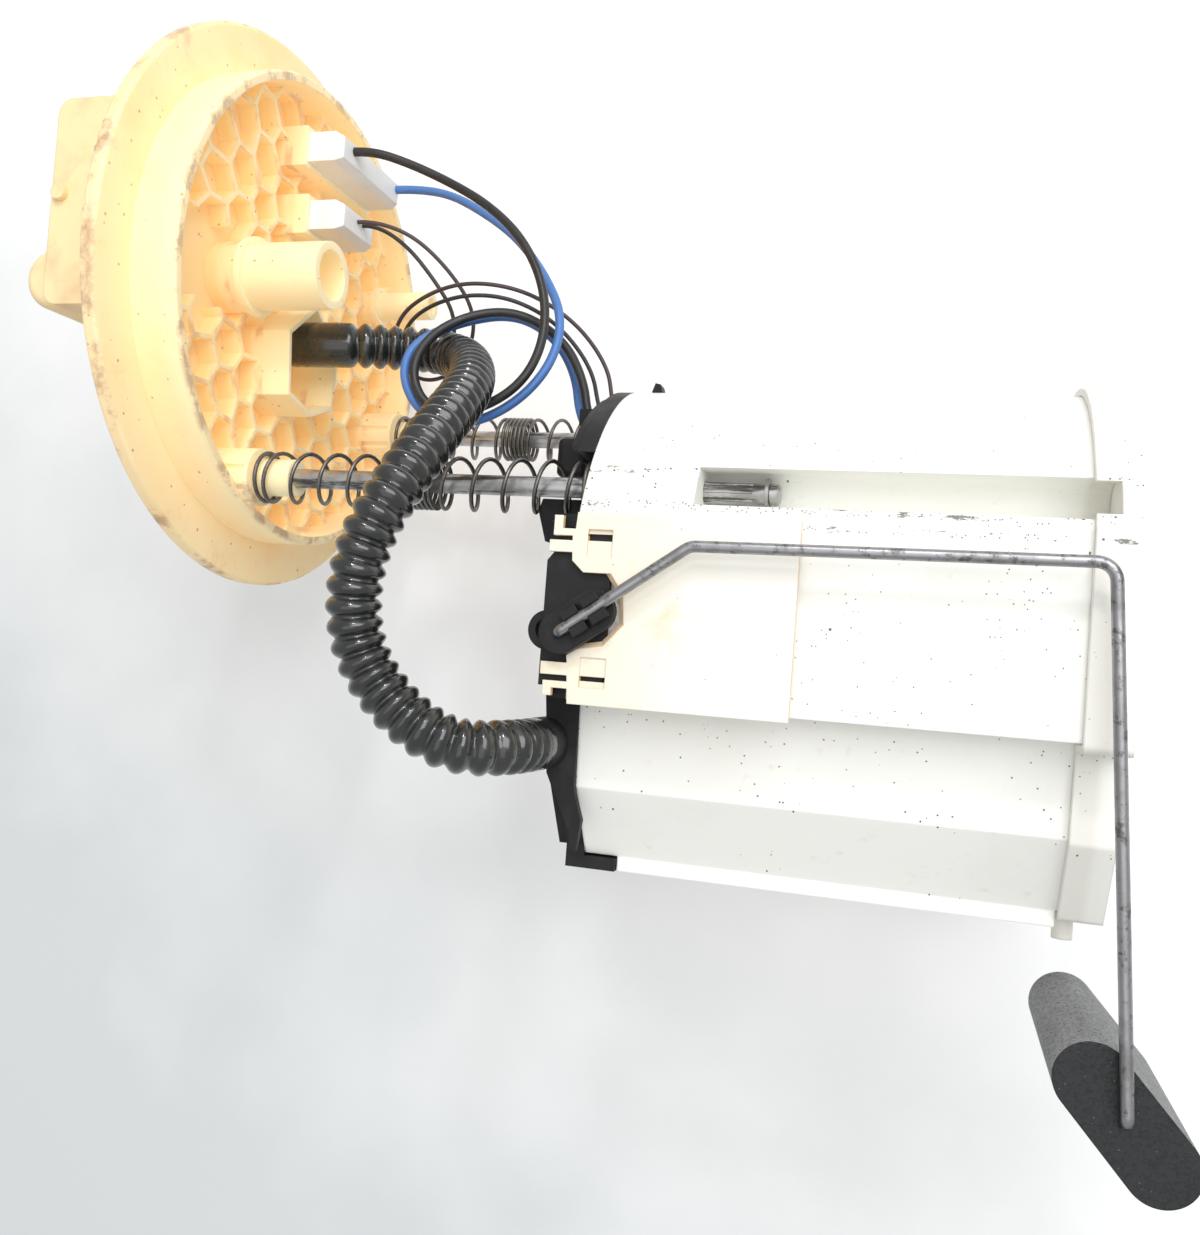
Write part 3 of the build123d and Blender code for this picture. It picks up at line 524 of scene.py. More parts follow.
@dataclass(frozen=True)
class DirtyFlange(Finish):
    """Aged acetal of the flange, with grime on its rim, collar edge and below the stand pipes, a
    painted amber glow on its cell floors and a painted glow over all.

    Limits of a radius or a height are in millimetres.
    """

    colour: Colour = (0.96, 0.76, 0.45)
    pale: Colour = (0.96, 0.80, 0.50)
    # Colour of amber clouds, also used for the painted glow on the cell floors.
    amber_and_floor_glow: Colour = (0.96, 0.69, 0.35)
    stain: Colour = (0.66, 0.38, 0.20)
    grime: Colour = (0.34, 0.20, 0.12)
    clouds: Noise = Noise(26.0, 5.0, 0.62)
    clouded: Step = Step(0.44, 0.72, after=0.7)
    inside: Step = Step(61.5, 62.9, before=1.0, after=0.0)
    # Painted light: amber glow on the cell floors, for light scattered through the plastic.
    painted_floor_glow: Band = Band(-2.5, 1.6, soft=2.6)
    painted_floor_glow_share: float = 0.85
    tips: Step = Step(-11.5, -6.0, before=0.75, after=0.0)
    rib_foot: Band = Band(-6.7, -5.3, soft=1.0)
    foot_stains: Noise = Noise(9.0, 3.0)
    foot_stained: Step = Step(0.50, 0.66, after=0.6)
    patches: Noise = Noise(15.0, 6.0, 0.72)
    land: Step = Step(67.5, 77.0, before=0.15)
    land_stained: Step = Step(0.52, 0.72, after=0.50)
    rim: Step = Step(76.8, 78.0)
    rim_dirty: Step = Step(0.44, 0.62, before=0.15, after=0.8)
    collar_end: Step = Step(-13.0, -11.6, before=1.0, after=0.0)
    collar_wall: Step = Step(62.0, 63.5)
    collar_dirt: Noise = Noise(6.0, 4.0, 0.7)
    collar_dirty: Step = Step(0.44, 0.62, before=0.1, after=0.75)
    spots: Dots = Dots(2.0, 0.5, 0.22, EVEN)
    spot_share: float = 0.8
    grime_share: float = 0.85
    skin: Skin = Skin(Noise(3.0, 4.0, 0.7), 0.05, (0.38, 0.56), round_mm=0.3, milk=0.4, milk_mm=5.0)
    # Painted light: strength of a glow in the flange's own colour, for light scattered through the
    # plastic.
    glow: float = 0.16

    def paint(self, shader: Shader) -> None:
        """Lay the tints of the ribs, and of the floor as a painted amber glow, then stains and
        grime.
        """
        clouds = shader.noise(self.clouds)
        radius, height = shader.radius(), shader.axis("Z")
        colour = shader.blend(self.colour, self.amber_and_floor_glow, shader.step(clouds, self.clouded))
        inside = shader.step(radius, self.inside, MM)
        # Painted amber glow on the cell floors inside the collar.
        painted_floor_glow = shader.product(shader.band(height, self.painted_floor_glow), inside, self.painted_floor_glow_share)
        colour = shader.blend(colour, self.amber_and_floor_glow, painted_floor_glow)
        colour = shader.blend(colour, self.pale, shader.step(height, self.tips, MM))
        foot = shader.product(shader.band(height, self.rib_foot),
                              shader.clouds(self.foot_stains, self.foot_stained), inside)
        colour = shader.blend(colour, self.stain, foot)
        patches = shader.noise(self.patches)
        land = shader.product(shader.step(radius, self.land, MM),
                              shader.step(patches, self.land_stained))
        colour = shader.blend(colour, self.stain, land)
        rim = shader.product(shader.step(radius, self.rim, MM),
                             shader.step(patches, self.rim_dirty))
        edge = shader.product(shader.step(height, self.collar_end, MM),
                              shader.step(radius, self.collar_wall, MM),
                              shader.clouds(self.collar_dirt, self.collar_dirty))
        spots = shader.product(shader.dots(self.spots), self.spot_share)
        grime = shader.product(shader.largest(rim, edge, spots), self.grime_share)
        colour = shader.blend(colour, self.grime, grime)
        shader.finish(colour, self.skin, clouds)
        # Painted glow: the flange emits its own colour, though it is no lamp.
        shader.surface(Emission_Color=colour, Emission_Strength=self.glow)


@dataclass(frozen=True)
class Metal(Finish):
    """Drawn, plated or spring metal with fine lines, scratches and a little tarnish."""

    colour: Colour
    tarnish: Colour
    sheen: Sheen = Sheen.SATIN
    line_mm: float = 0.5
    along: Point = (1.0, 1.0, 0.02)
    share: float = 0.6
    streaks: float = 0.0
    scratch: Colour = (0.06, 0.055, 0.05)
    scratch_least: float = 0.12

    def paint(self, shader: Shader) -> None:
        """Lay tarnish, then scratches along the drawn lines."""
        clouds = shader.noise(Noise(size_mm=9.0, detail=4.0, rough=0.65))
        tarnished = shader.step(clouds, Step(low=0.45, high=0.72, after=self.share))
        colour = shader.blend(self.colour, self.tarnish, tarnished)
        stretch = tuple(max(factor, self.scratch_least) for factor in self.along)
        scratched = shader.clouds(Noise(size_mm=2.4, detail=5.0, rough=0.75, stretch=stretch),
                                  Step(low=0.53, high=0.63, after=self.streaks))
        colour = shader.blend(colour, self.scratch, scratched)
        lines = Noise(self.line_mm, detail=2.0, rough=0.5, stretch=self.along)
        skin = Skin(lines, depth_mm=0.012, rough=self.sheen.spread(less=0.06, more=0.14))
        shader.finish(colour, skin, clouds)
        shader.surface(Metallic=1.0)


@dataclass(frozen=True)
class Sheathing(Finish):
    """Extruded sheath of a lead or a hose, with dust and rub marks."""

    colour: Colour
    dust: Colour
    share: float = 0.25
    sheen: Sheen = Sheen.SATIN
    coat: float = 0.0
    coat_rough: float = 0.08

    def paint(self, shader: Shader) -> None:
        """Lay dust under a clear coat."""
        dust = shader.noise(Noise(size_mm=5.0, detail=5.0, rough=0.7))
        dusty = shader.step(dust, Step(low=0.45, high=0.80, after=self.share))
        colour = shader.blend(self.colour, self.dust, dusty)
        grain = Noise(size_mm=0.5, detail=2.0)
        skin = Skin(grain, depth_mm=0.02, rough=self.sheen.spread(less=0.05, more=0.18))
        shader.finish(colour, skin, dust)
        shader.surface(Coat_Weight=self.coat, Coat_Roughness=self.coat_rough)


@dataclass(frozen=True)
class Speckled(Finish):
    """Closed-cell float rubber: charcoal faces, paler speckled sides with painted highlight
    streaks, small pits.
    """

    colour: Colour = (0.013, 0.015, 0.016)
    side: Colour = (0.20, 0.205, 0.21)
    grain: Colour = (0.10, 0.105, 0.11)
    side_grain: Colour = (0.07, 0.07, 0.075)
    # Colour of the painted highlight streaks on the sides.
    highlight_streak: Colour = (0.32, 0.325, 0.33)
    pit: Colour = (0.02, 0.02, 0.022)
    face: Step = Step(0.80, 0.92)
    cells: Noise = Noise(0.7, 4.0, 0.8)
    celled: Step = Step(0.44, 0.66)
    cell_share: float = 0.75
    # Painted highlight: lighter streaks, drawn out along Y, on the float's sides.
    highlight_streaks: Noise = Noise(9.0, 5.0, 0.7, stretch=(1.0, 0.25, 1.0))
    highlight_streaked: Step = Step(0.40, 0.66)
    highlight_share: float = 0.6
    specks: Dots = Dots(1.1, 0.22, 0.22)
    pits: Dots = Dots(6.0, 0.9, 0.35, EVEN)
    skin: Skin = Skin(None, 0.10, (0.50, 0.75), round_mm=0.5)

    def paint(self, shader: Shader) -> None:
        """Lay the faces and the sides with painted highlight streaks apart, then pits over both."""
        face = shader.step(shader.facing("Y"), self.face)
        fine = shader.clouds(self.cells, self.celled)
        # Painted highlight streaks on the sides.
        highlight_streak = shader.product(shader.clouds(self.highlight_streaks, self.highlight_streaked), self.highlight_share)
        front = shader.blend(self.colour, self.grain, shader.dots(self.specks))
        sides = shader.blend(self.side, self.highlight_streak, highlight_streak)
        sides = shader.blend(sides, self.side_grain, shader.product(fine, self.cell_share))
        pits = shader.dots(self.pits)
        colour = shader.blend(shader.blend(sides, front, face), self.pit, pits)
        shader.finish(colour, self.skin, fine, height=shader.maths("SUBTRACT", fine, pits))


class Finishes:
    """Every finish of the module, by the record's slot name, each built once."""

    RECIPES: dict[str, Finish] = {
        "flange_plastic": DirtyFlange(),
        "shroud_plastic": Moulded(
            (0.93, 0.74, 0.42), (0.66, 0.42, 0.24), share=0.6, size_mm=14.0,
            specks=Dots(2.6, 0.364, 0.12), milky=0.25, round_mm=0.4),
        "terminal_metal": Metal((0.80, 0.74, 0.58), (0.55, 0.47, 0.33)),
        "rod_metal": Metal((0.55, 0.55, 0.55), (0.26, 0.24, 0.23), streaks=0.8),
        "spring_steel": Metal(
            (0.20, 0.195, 0.185), (0.10, 0.085, 0.07), line_mm=0.4, along=EVEN, streaks=0.4),
        "clip_steel": Metal((0.42, 0.41, 0.40), (0.2, 0.18, 0.16)),
        "plug_plastic": Moulded(
            (0.92, 0.92, 0.90), (0.84, 0.78, 0.70), share=0.3, size_mm=8.0, milky=0.2,
            round_mm=0.6),
        "hose_plastic": Sheathing(
            (0.013, 0.015, 0.014), (0.06, 0.06, 0.055), share=0.3, sheen=Sheen.GLOSS, coat=0.8),
        "wire_black": Sheathing((0.018, 0.018, 0.02), (0.10, 0.09, 0.08)),
        "wire_blue": Sheathing((0.07, 0.19, 0.50), (0.16, 0.26, 0.45)),
        "wire_signal": Sheathing((0.03, 0.03, 0.035), (0.12, 0.11, 0.10)),
        "wire_ground": Sheathing((0.06, 0.04, 0.045), (0.14, 0.12, 0.11)),
        "bucket_plastic": DottedBucket(),
        "cover_plastic": Moulded(
            (0.009, 0.009, 0.010), (0.05, 0.05, 0.052), share=0.35, size_mm=10.0, round_mm=0.3,
            shine=0.3),
        "lid_plastic": Moulded(
            (0.14, 0.145, 0.155), (0.24, 0.24, 0.24), share=0.4, size_mm=9.0, round_mm=0.3),
        "grommet_rubber": Moulded(
            (0.04, 0.04, 0.04), (0.10, 0.10, 0.10), share=0.4, size_mm=5.0, sheen=Sheen.MATTE),
        "bracket_plastic": NylonWithPaintedShade(),
        "sender_plastic": Moulded(
            (0.009, 0.009, 0.010), (0.05, 0.05, 0.05), share=0.3, size_mm=6.0, round_mm=0.3,
            shine=0.35),
        "card_ceramic": Moulded((0.50, 0.55, 0.48), (0.2, 0.2, 0.2), share=0.3, size_mm=3.0),
        "contact_metal": Metal((0.76, 0.66, 0.44), (0.5, 0.4, 0.25)),
        "arm_steel": Metal(
            (0.36, 0.36, 0.375), (0.18, 0.175, 0.17), line_mm=0.4, along=EVEN, streaks=0.65),
        "float_foam": Speckled(),
        "can_steel": Metal((0.66, 0.66, 0.67), (0.45, 0.44, 0.42)),
        "pump_plastic": Moulded((0.12, 0.12, 0.12), (0.2, 0.2, 0.2), share=0.4, size_mm=8.0),
        "magnet": Moulded(
            (0.06, 0.06, 0.065), (0.12, 0.12, 0.12), share=0.4, size_mm=6.0, sheen=Sheen.MATTE),
        "copper_core": Metal((0.72, 0.36, 0.20), (0.4, 0.2, 0.1)),
        "isolator_rubber": Moulded(
            (0.03, 0.03, 0.03), (0.08, 0.08, 0.08), share=0.4, size_mm=8.0, sheen=Sheen.MATTE),
        "filter_media": Moulded(
            (0.78, 0.74, 0.62), (0.55, 0.48, 0.34), share=0.6, size_mm=12.0, sheen=Sheen.MATTE),
        "strainer_mesh": Moulded(
            (0.72, 0.72, 0.69), (0.55, 0.54, 0.50), share=0.4, size_mm=4.0, sheen=Sheen.MATTE,
            grain_mm=0.5, depth_mm=0.15),
    }

    def __init__(self) -> None:
        """Start with no material built."""
        self.built: dict[str, bpy.types.Material] = {}

    def get(self, slot: str) -> bpy.types.Material:
        """Material of a slot.

        Args:
            slot: the slot's name in the record.

        Returns:
            Its material, the same each time.
        """
        if slot not in self.built:
            self.built[slot] = self.RECIPES[slot].material(slot)
        return self.built[slot]

    def dress(self, frame: dict) -> None:
        """Give every CAD node the material of its slot.

        Args:
            frame: the loaded frame, with the part's record and its nodes.
        """
        for entry in frame["record"]["subparts"]:
            node = frame["nodes"][entry["node"]]
            for place in node.material_slots:
                place.material = self.get(entry["material_slot"])


# ------------------------------------------------------------------ mesh and curve making
def mm(points: Iterable[Point]) -> list[Vector]:
    """Points in millimetres, as vectors in metres."""
    return [Vector(p) * MM for p in points]


def place_object(name: str, data: bpy.types.ID) -> bpy.types.Object:
    """Object at the origin for a mesh, curve, camera or lamp.

    Args:
        name: the object's name.
        data: what it holds, in the part's own frame.

    Returns:
        The object, linked to the scene.
    """
    piece = bpy.data.objects.new(name, data)
    bpy.context.scene.collection.objects.link(piece)
    return piece


def curve_object(name: str, kind: str, points: Sequence[Vector]) -> bpy.types.Object:
    """Curve object of one open spline.

    Args:
        name: the object's name.
        kind: the spline's type.
        points: its points in metres.

    Returns:
        The curve object.
    """
    curve = bpy.data.curves.new(name, "CURVE")
    curve.dimensions = "3D"
    spline = curve.splines.new(kind)
    spline.points.add(len(points) - 1)
    for place, point in zip(spline.points, points):
        place.co = (*point, 1.0)
    return place_object(name, curve)


def evaluated_mesh(piece: bpy.types.Object) -> bpy.types.Mesh:
    """Mesh of an object as it is now, with its modifiers."""
    bpy.context.view_layer.update()
    graph = bpy.context.evaluated_depsgraph_get()
    return bpy.data.meshes.new_from_object(piece.evaluated_get(graph))


def smooth_route(points: Sequence[Vector], resolution: int = 14) -> list[Vector]:
    """Points along the smooth line that a route's control points pull.

    Args:
        points: the route's control points in metres.
        resolution: points per span.

    Returns:
        Points along the quadratic NURBS line.
    """
    holder = curve_object("route", "NURBS", points)
    holder.data.resolution_u = resolution
    spline = holder.data.splines[0]
    spline.order_u = 3
    spline.use_endpoint_u = True
    mesh = evaluated_mesh(holder)
    line = [v.co.copy() for v in mesh.vertices]
    bpy.data.objects.remove(holder)
    bpy.data.meshes.remove(mesh)
    return line


class SweepTree(Graph):
    """Geometry Nodes tree that sweeps a round section along a curve, with ridges at a pitch."""

    PLAIN = {"Geometry": "NodeSocketGeometry", "Radius": "NodeSocketFloat",
             "Step": "NodeSocketFloat", "Sides": "NodeSocketInt", "Material": "NodeSocketMaterial"}
    RIDGED = dict.fromkeys(
        ("Ridge Depth", "Ridge Pitch", "Plain Start", "Plain End"), "NodeSocketFloat")
    CREST_POWER = 0.42

    def __init__(self, name: str, ridged: bool = False) -> None:
        """Build the tree.

        Args:
            name: the tree's name.
            ridged: whether the radius rises and falls along the curve.
        """
        super().__init__(bpy.data.node_groups.new(name, "GeometryNodeTree"))
        interface = self.tree.interface
        kinds = {**self.PLAIN, **self.RIDGED} if ridged else self.PLAIN
        self.sockets: dict[str, str] = {
            key: interface.new_socket(key, in_out="INPUT", socket_type=kind).identifier
            for key, kind in kinds.items()}
        interface.new_socket("Geometry", in_out="OUTPUT", socket_type="NodeSocketGeometry")
        given = self.add("NodeGroupInput").outputs
        resample = self.add("GeometryNodeResampleCurve", mode="LENGTH")
        circle = self.add("GeometryNodeCurvePrimitiveCircle")
        sweep = self.add("GeometryNodeCurveToMesh")
        smooth = self.add("GeometryNodeSetShadeSmooth")
        realize = self.add("GeometryNodeRealizeInstances")
        paint = self.add("GeometryNodeSetMaterial")
        end = self.add("NodeGroupOutput")
        for target, value in (
                (resample.inputs["Curve"], given["Geometry"]),
                (resample.inputs["Length"], given["Step"]),
                (circle.inputs["Resolution"], given["Sides"]),
                (circle.inputs["Radius"], given["Radius"]),
                (sweep.inputs["Fill Caps"], True),
                (sweep.inputs["Curve"], resample.outputs["Curve"]),
                (sweep.inputs["Profile Curve"], circle.outputs["Curve"]),
                (smooth.inputs["Geometry"], sweep.outputs["Mesh"]),
                (realize.inputs["Geometry"], smooth.outputs["Geometry"]),
                (paint.inputs["Geometry"], realize.outputs["Geometry"]),
                (paint.inputs["Material"], given["Material"]),
                (end.inputs["Geometry"], paint.outputs["Geometry"])):
            self.feed(target, value)
        if ridged:
            self.feed(sweep.inputs["Scale"], self._ridges(given))

    def _ridges(self, given: bpy.types.NodeOutputs) -> Socket:
        """Scale of the section along the curve: rounded ridges between two plain ends.

        Args:
            given: the tree's inputs.

        Returns:
            The scale, 1 on a crest.
        """
        along = self.add("GeometryNodeSplineParameter").outputs["Length"]
        total = self.add("GeometryNodeSplineLength").outputs["Length"]
        turns = self.maths("DIVIDE", along, given["Ridge Pitch"])
        wave = self.maths("COSINE", self.product(turns, 2 * math.pi))
        wave = self.maths("POWER", self.maths("MULTIPLY_ADD", wave, 0.5, 0.5), self.CREST_POWER)
        rest = self.maths("SUBTRACT", total, along)
        inside = self.product(self.maths("GREATER_THAN", along, given["Plain Start"]),
                              self.maths("GREATER_THAN", rest, given["Plain End"]))
        low = self.product(self.maths("SUBTRACT", 1.0, wave), inside)
        drop = self.maths("DIVIDE", given["Ridge Depth"], given["Radius"])
        return self.maths("SUBTRACT", 1.0, self.product(low, drop))

    def sweep(self, name: str, points: Sequence[Vector], **values: object) -> bpy.types.Object:
        """Sweep the section along points into a plain mesh object.

        Args:
            name: the new object's name.
            points: the centre line in metres.
            values: the tree's inputs, with underscores for spaces.

        Returns:
            The swept mesh object at the origin.
        """
        line = curve_object(name + "_line", "POLY", points)
        modifier = line.modifiers.new("sweep", "NODES")
        modifier.node_group = self.tree
        for key, value in values.items():
            modifier[self.sockets[key.replace("_", " ")]] = value
        mesh = evaluated_mesh(line)
        mesh.name = name
        line.modifiers.remove(modifier)
        bpy.data.objects.remove(line)
        return place_object(name, mesh)


# ------------------------------------------------------------------ hose and leads
@dataclass
class FuelHose:
    """Corrugated hose from the flange's tower to the cover's nipple; lengths in millimetres."""

    route: tuple[Point, ...] = (
        (-9.0, -5.0, -9.0), (-9.0, -5.0, -24.0), (-7.4, 4.0, -36.0), (-7.6, 7.5, -49.5),
        (-13.5, -4.0, -63.5), (-26.0, -27.0, -74.0), (-41.5, -49.0, -75.5), (-56.0, -61.5, -73.0),
        (-69.0, -65.5, -68.0), (-83.0, -65.0, -65.6), (-96.0, -62.5, -68.0), (-107.0, -61.0, -77.5),
        (-113.5, -59.5, -89.5), (-113.0, -51.5, -100.6), (-113.0, -36.55, -100.6))
    crest_r: float = 6.3
    ridge_depth: float = 1.7
    ridge_pitch: float = 4.2
    cuff: float = 17.0
    plain_end: float = 3.0
    step: float = 0.45
    sides: int = 28
    bend_from: Point = (-9.0, -5.0, -20.0)
    bend_to: Point = (-108.0, -50.0, -92.0)

    def build(self, finishes: Finishes) -> bpy.types.Object:
        """Args:
            finishes: where its material comes from.

        Returns:
            The hose.
        """
        line = smooth_route(mm(self.route))
        hose = SweepTree("hose_sweep", ridged=True).sweep(
            "fuel_hose_looks", line, Radius=self.crest_r * MM, Step=self.step * MM,
            Sides=self.sides, Material=finishes.get("hose_plastic"),
            Ridge_Depth=self.ridge_depth * MM, Ridge_Pitch=self.ridge_pitch * MM,
            Plain_Start=self.cuff * MM, Plain_End=self.plain_end * MM)
        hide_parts("fuel_hose")
        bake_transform(hose)
        return hose


@dataclass
class Lead:
    """One lead from a plug under the flange to the cover's grommet; lengths in millimetres."""

    node: str
    slot: str
    radius: float
    route: tuple[Point, ...]
    sides: int = 14
    step: float = 0.9
    held: float = 5.0

    def build(self, finishes: Finishes) -> bpy.types.Object:
        """Args:
            finishes: where its material comes from.

        Returns:
            The lead.
        """
        line = smooth_route(mm(self.route))
        lead = SweepTree(self.node + "_sweep").sweep(
            self.node + "_looks", line, Radius=self.radius * MM, Step=self.step * MM,
            Sides=self.sides, Material=finishes.get(self.slot))
        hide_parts(self.node)
        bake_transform(lead)
        return lead


LEADS = (
    Lead("pump_wire_black", "wire_black", 1.25, (
        (47.3, -3.0, -22.05), (47.3, -3.0, -27.5), (44.6, -0.6, -37.5), (39.3, 1.0, -50.0),
        (31.5, 0.0, -63.5), (20.5, -2.5, -75.5), (6.0, -4.8, -83.6), (-9.5, -7.0, -85.2),
        (-22.0, -9.6, -80.0), (-29.6, -12.0, -67.5), (-28.8, -13.4, -55.5), (-18.5, -13.4, -49.8),
        (-7.5, -10.5, -53.5), (-0.3, -5.5, -64.5), (1.4, 0.5, -75.5), (-5.0, 6.0, -86.6),
        (-15.5, 9.0, -92.0), (-25.0, 10.2, -93.4), (-30.5, 10.8, -97.4), (-30.5, 10.8, -103.55))),
    Lead("pump_wire_blue", "wire_blue", 1.25, (
        (47.4, 24.0, -22.05), (47.4, 24.0, -28.0), (44.4, 21.4, -41.0), (36.0, 15.0, -55.0),
        (26.0, 9.0, -68.6), (13.6, 3.6, -79.6), (-0.5, -1.8, -88.2), (-14.0, -4.2, -87.0),
        (-25.5, -6.8, -78.6), (-32.4, -9.3, -66.0), (-30.0, -10.6, -53.0), (-19.5, -10.2, -45.8),
        (-9.0, -8.0, -47.4), (-1.6, -2.5, -60.0), (2.2, 4.5, -72.0), (-2.5, 10.4, -82.0),
        (-12.5, 13.6, -88.0), (-24.0, 14.6, -89.6), (-31.0, 14.9, -94.6), (-31.0, 14.9, -103.55))),
    Lead("sensor_wire_signal", "wire_signal", 0.6, (
        (28.9, 5.0, -22.05), (28.9, 5.0, -26.8), (23.6, 8.4, -35.5), (14.2, 12.0, -43.4),
        (6.2, 14.6, -48.6), (-1.6, 17.4, -48.4), (-9.0, 20.0, -43.5), (-10.0, 20.6, -35.0),
        (-4.2, 17.6, -30.8), (2.6, 12.0, -35.4), (6.7, 7.6, -45.6), (8.6, 5.6, -58.0),
        (7.4, 7.4, -70.4), (1.8, 12.4, -82.0), (-9.5, 17.4, -91.4), (-20.5, 19.6, -93.6),
        (-27.6, 17.2, -97.0), (-27.6, 17.2, -103.55)), 10),
    Lead("sensor_wire_ground", "wire_ground", 0.6, (
        (28.9, 2.0, -22.05), (28.9, 2.0, -28.0), (25.4, 5.4, -39.0), (16.5, 11.4, -48.6),
        (7.0, 16.2, -54.4), (-2.5, 20.0, -53.0), (-11.2, 23.0, -45.0), (-12.4, 23.4, -34.6),
        (-4.8, 20.0, -27.0), (4.6, 13.0, -31.6), (10.2, 8.0, -44.0), (12.2, 5.6, -58.0),
        (10.4, 9.4, -73.0), (3.4, 16.0, -86.0), (-8.0, 20.6, -95.0), (-18.5, 17.8, -98.0),
        (-25.0, 14.4, -99.4), (-25.0, 14.4, -103.55)), 10),
)


# ------------------------------------------------------------------ springs
@dataclass
class GuideSpring:
    """Compression spring on a guide rod, with close coils at its ends and near its middle.

    Lengths are in millimetres.
    """

    side: str
    centre: tuple[float, float]
    dead_mid: float
    top: float = -16.6
    bottom: float = -108.4
    coil_r: float = 6.45
    wire_r: float = 0.55
    pitch: float = 8.2
    close_pitch: float = 1.35
    close_coils: float = 6.0
    ease: float = 3.0
    points_per_turn: int = 26
    step: float = 1.6
    sides: int = 10

    def line(self) -> list[Vector]:
        """Centre line of the wire, in metres."""
        x, y = self.centre
        half = self.close_coils * self.close_pitch / 2
        points, z, turn, turn_step = [], self.top, 0.0, 1 / self.points_per_turn
        while z > self.bottom:
            points.append(Vector((x + self.coil_r * math.cos(2 * math.pi * turn),
                                  y + self.coil_r * math.sin(2 * math.pi * turn), z)) * MM)
            from_mid = abs(z - self.dead_mid) - half
            from_end = min(self.top - z, z - self.bottom)
            reach = min(from_mid, from_end - self.close_pitch) / self.ease
            open_share = min(max(reach, 0.0), 1.0)
            z -= turn_step * (self.close_pitch + (self.pitch - self.close_pitch) * open_share)
            turn += turn_step
        return points

    def build(self, finishes: Finishes) -> bpy.types.Object:
        """Sweep and dress the spring.

        Args:
            finishes: where its material comes from.

        Returns:
            The spring.
        """
        spring = SweepTree(self.side + "_spring_sweep").sweep(
            self.side + "_spring_looks", self.line(), Radius=self.wire_r * MM,
            Step=self.step * MM, Sides=self.sides, Material=finishes.get("spring_steel"))
        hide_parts(self.side + "_spring")
        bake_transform(spring)
        return spring


SPRINGS = (GuideSpring("front", (-50.5, -26.2), -62.8), GuideSpring("rear", (-24.0, 51.9), -58.2))


# ------------------------------------------------------------------ stage
@dataclass(frozen=True)
class Lamp:
    """Square soft lamp: its place and side in metres, its power in watts."""

    name: str
    at: Point
    size: float
    power: float


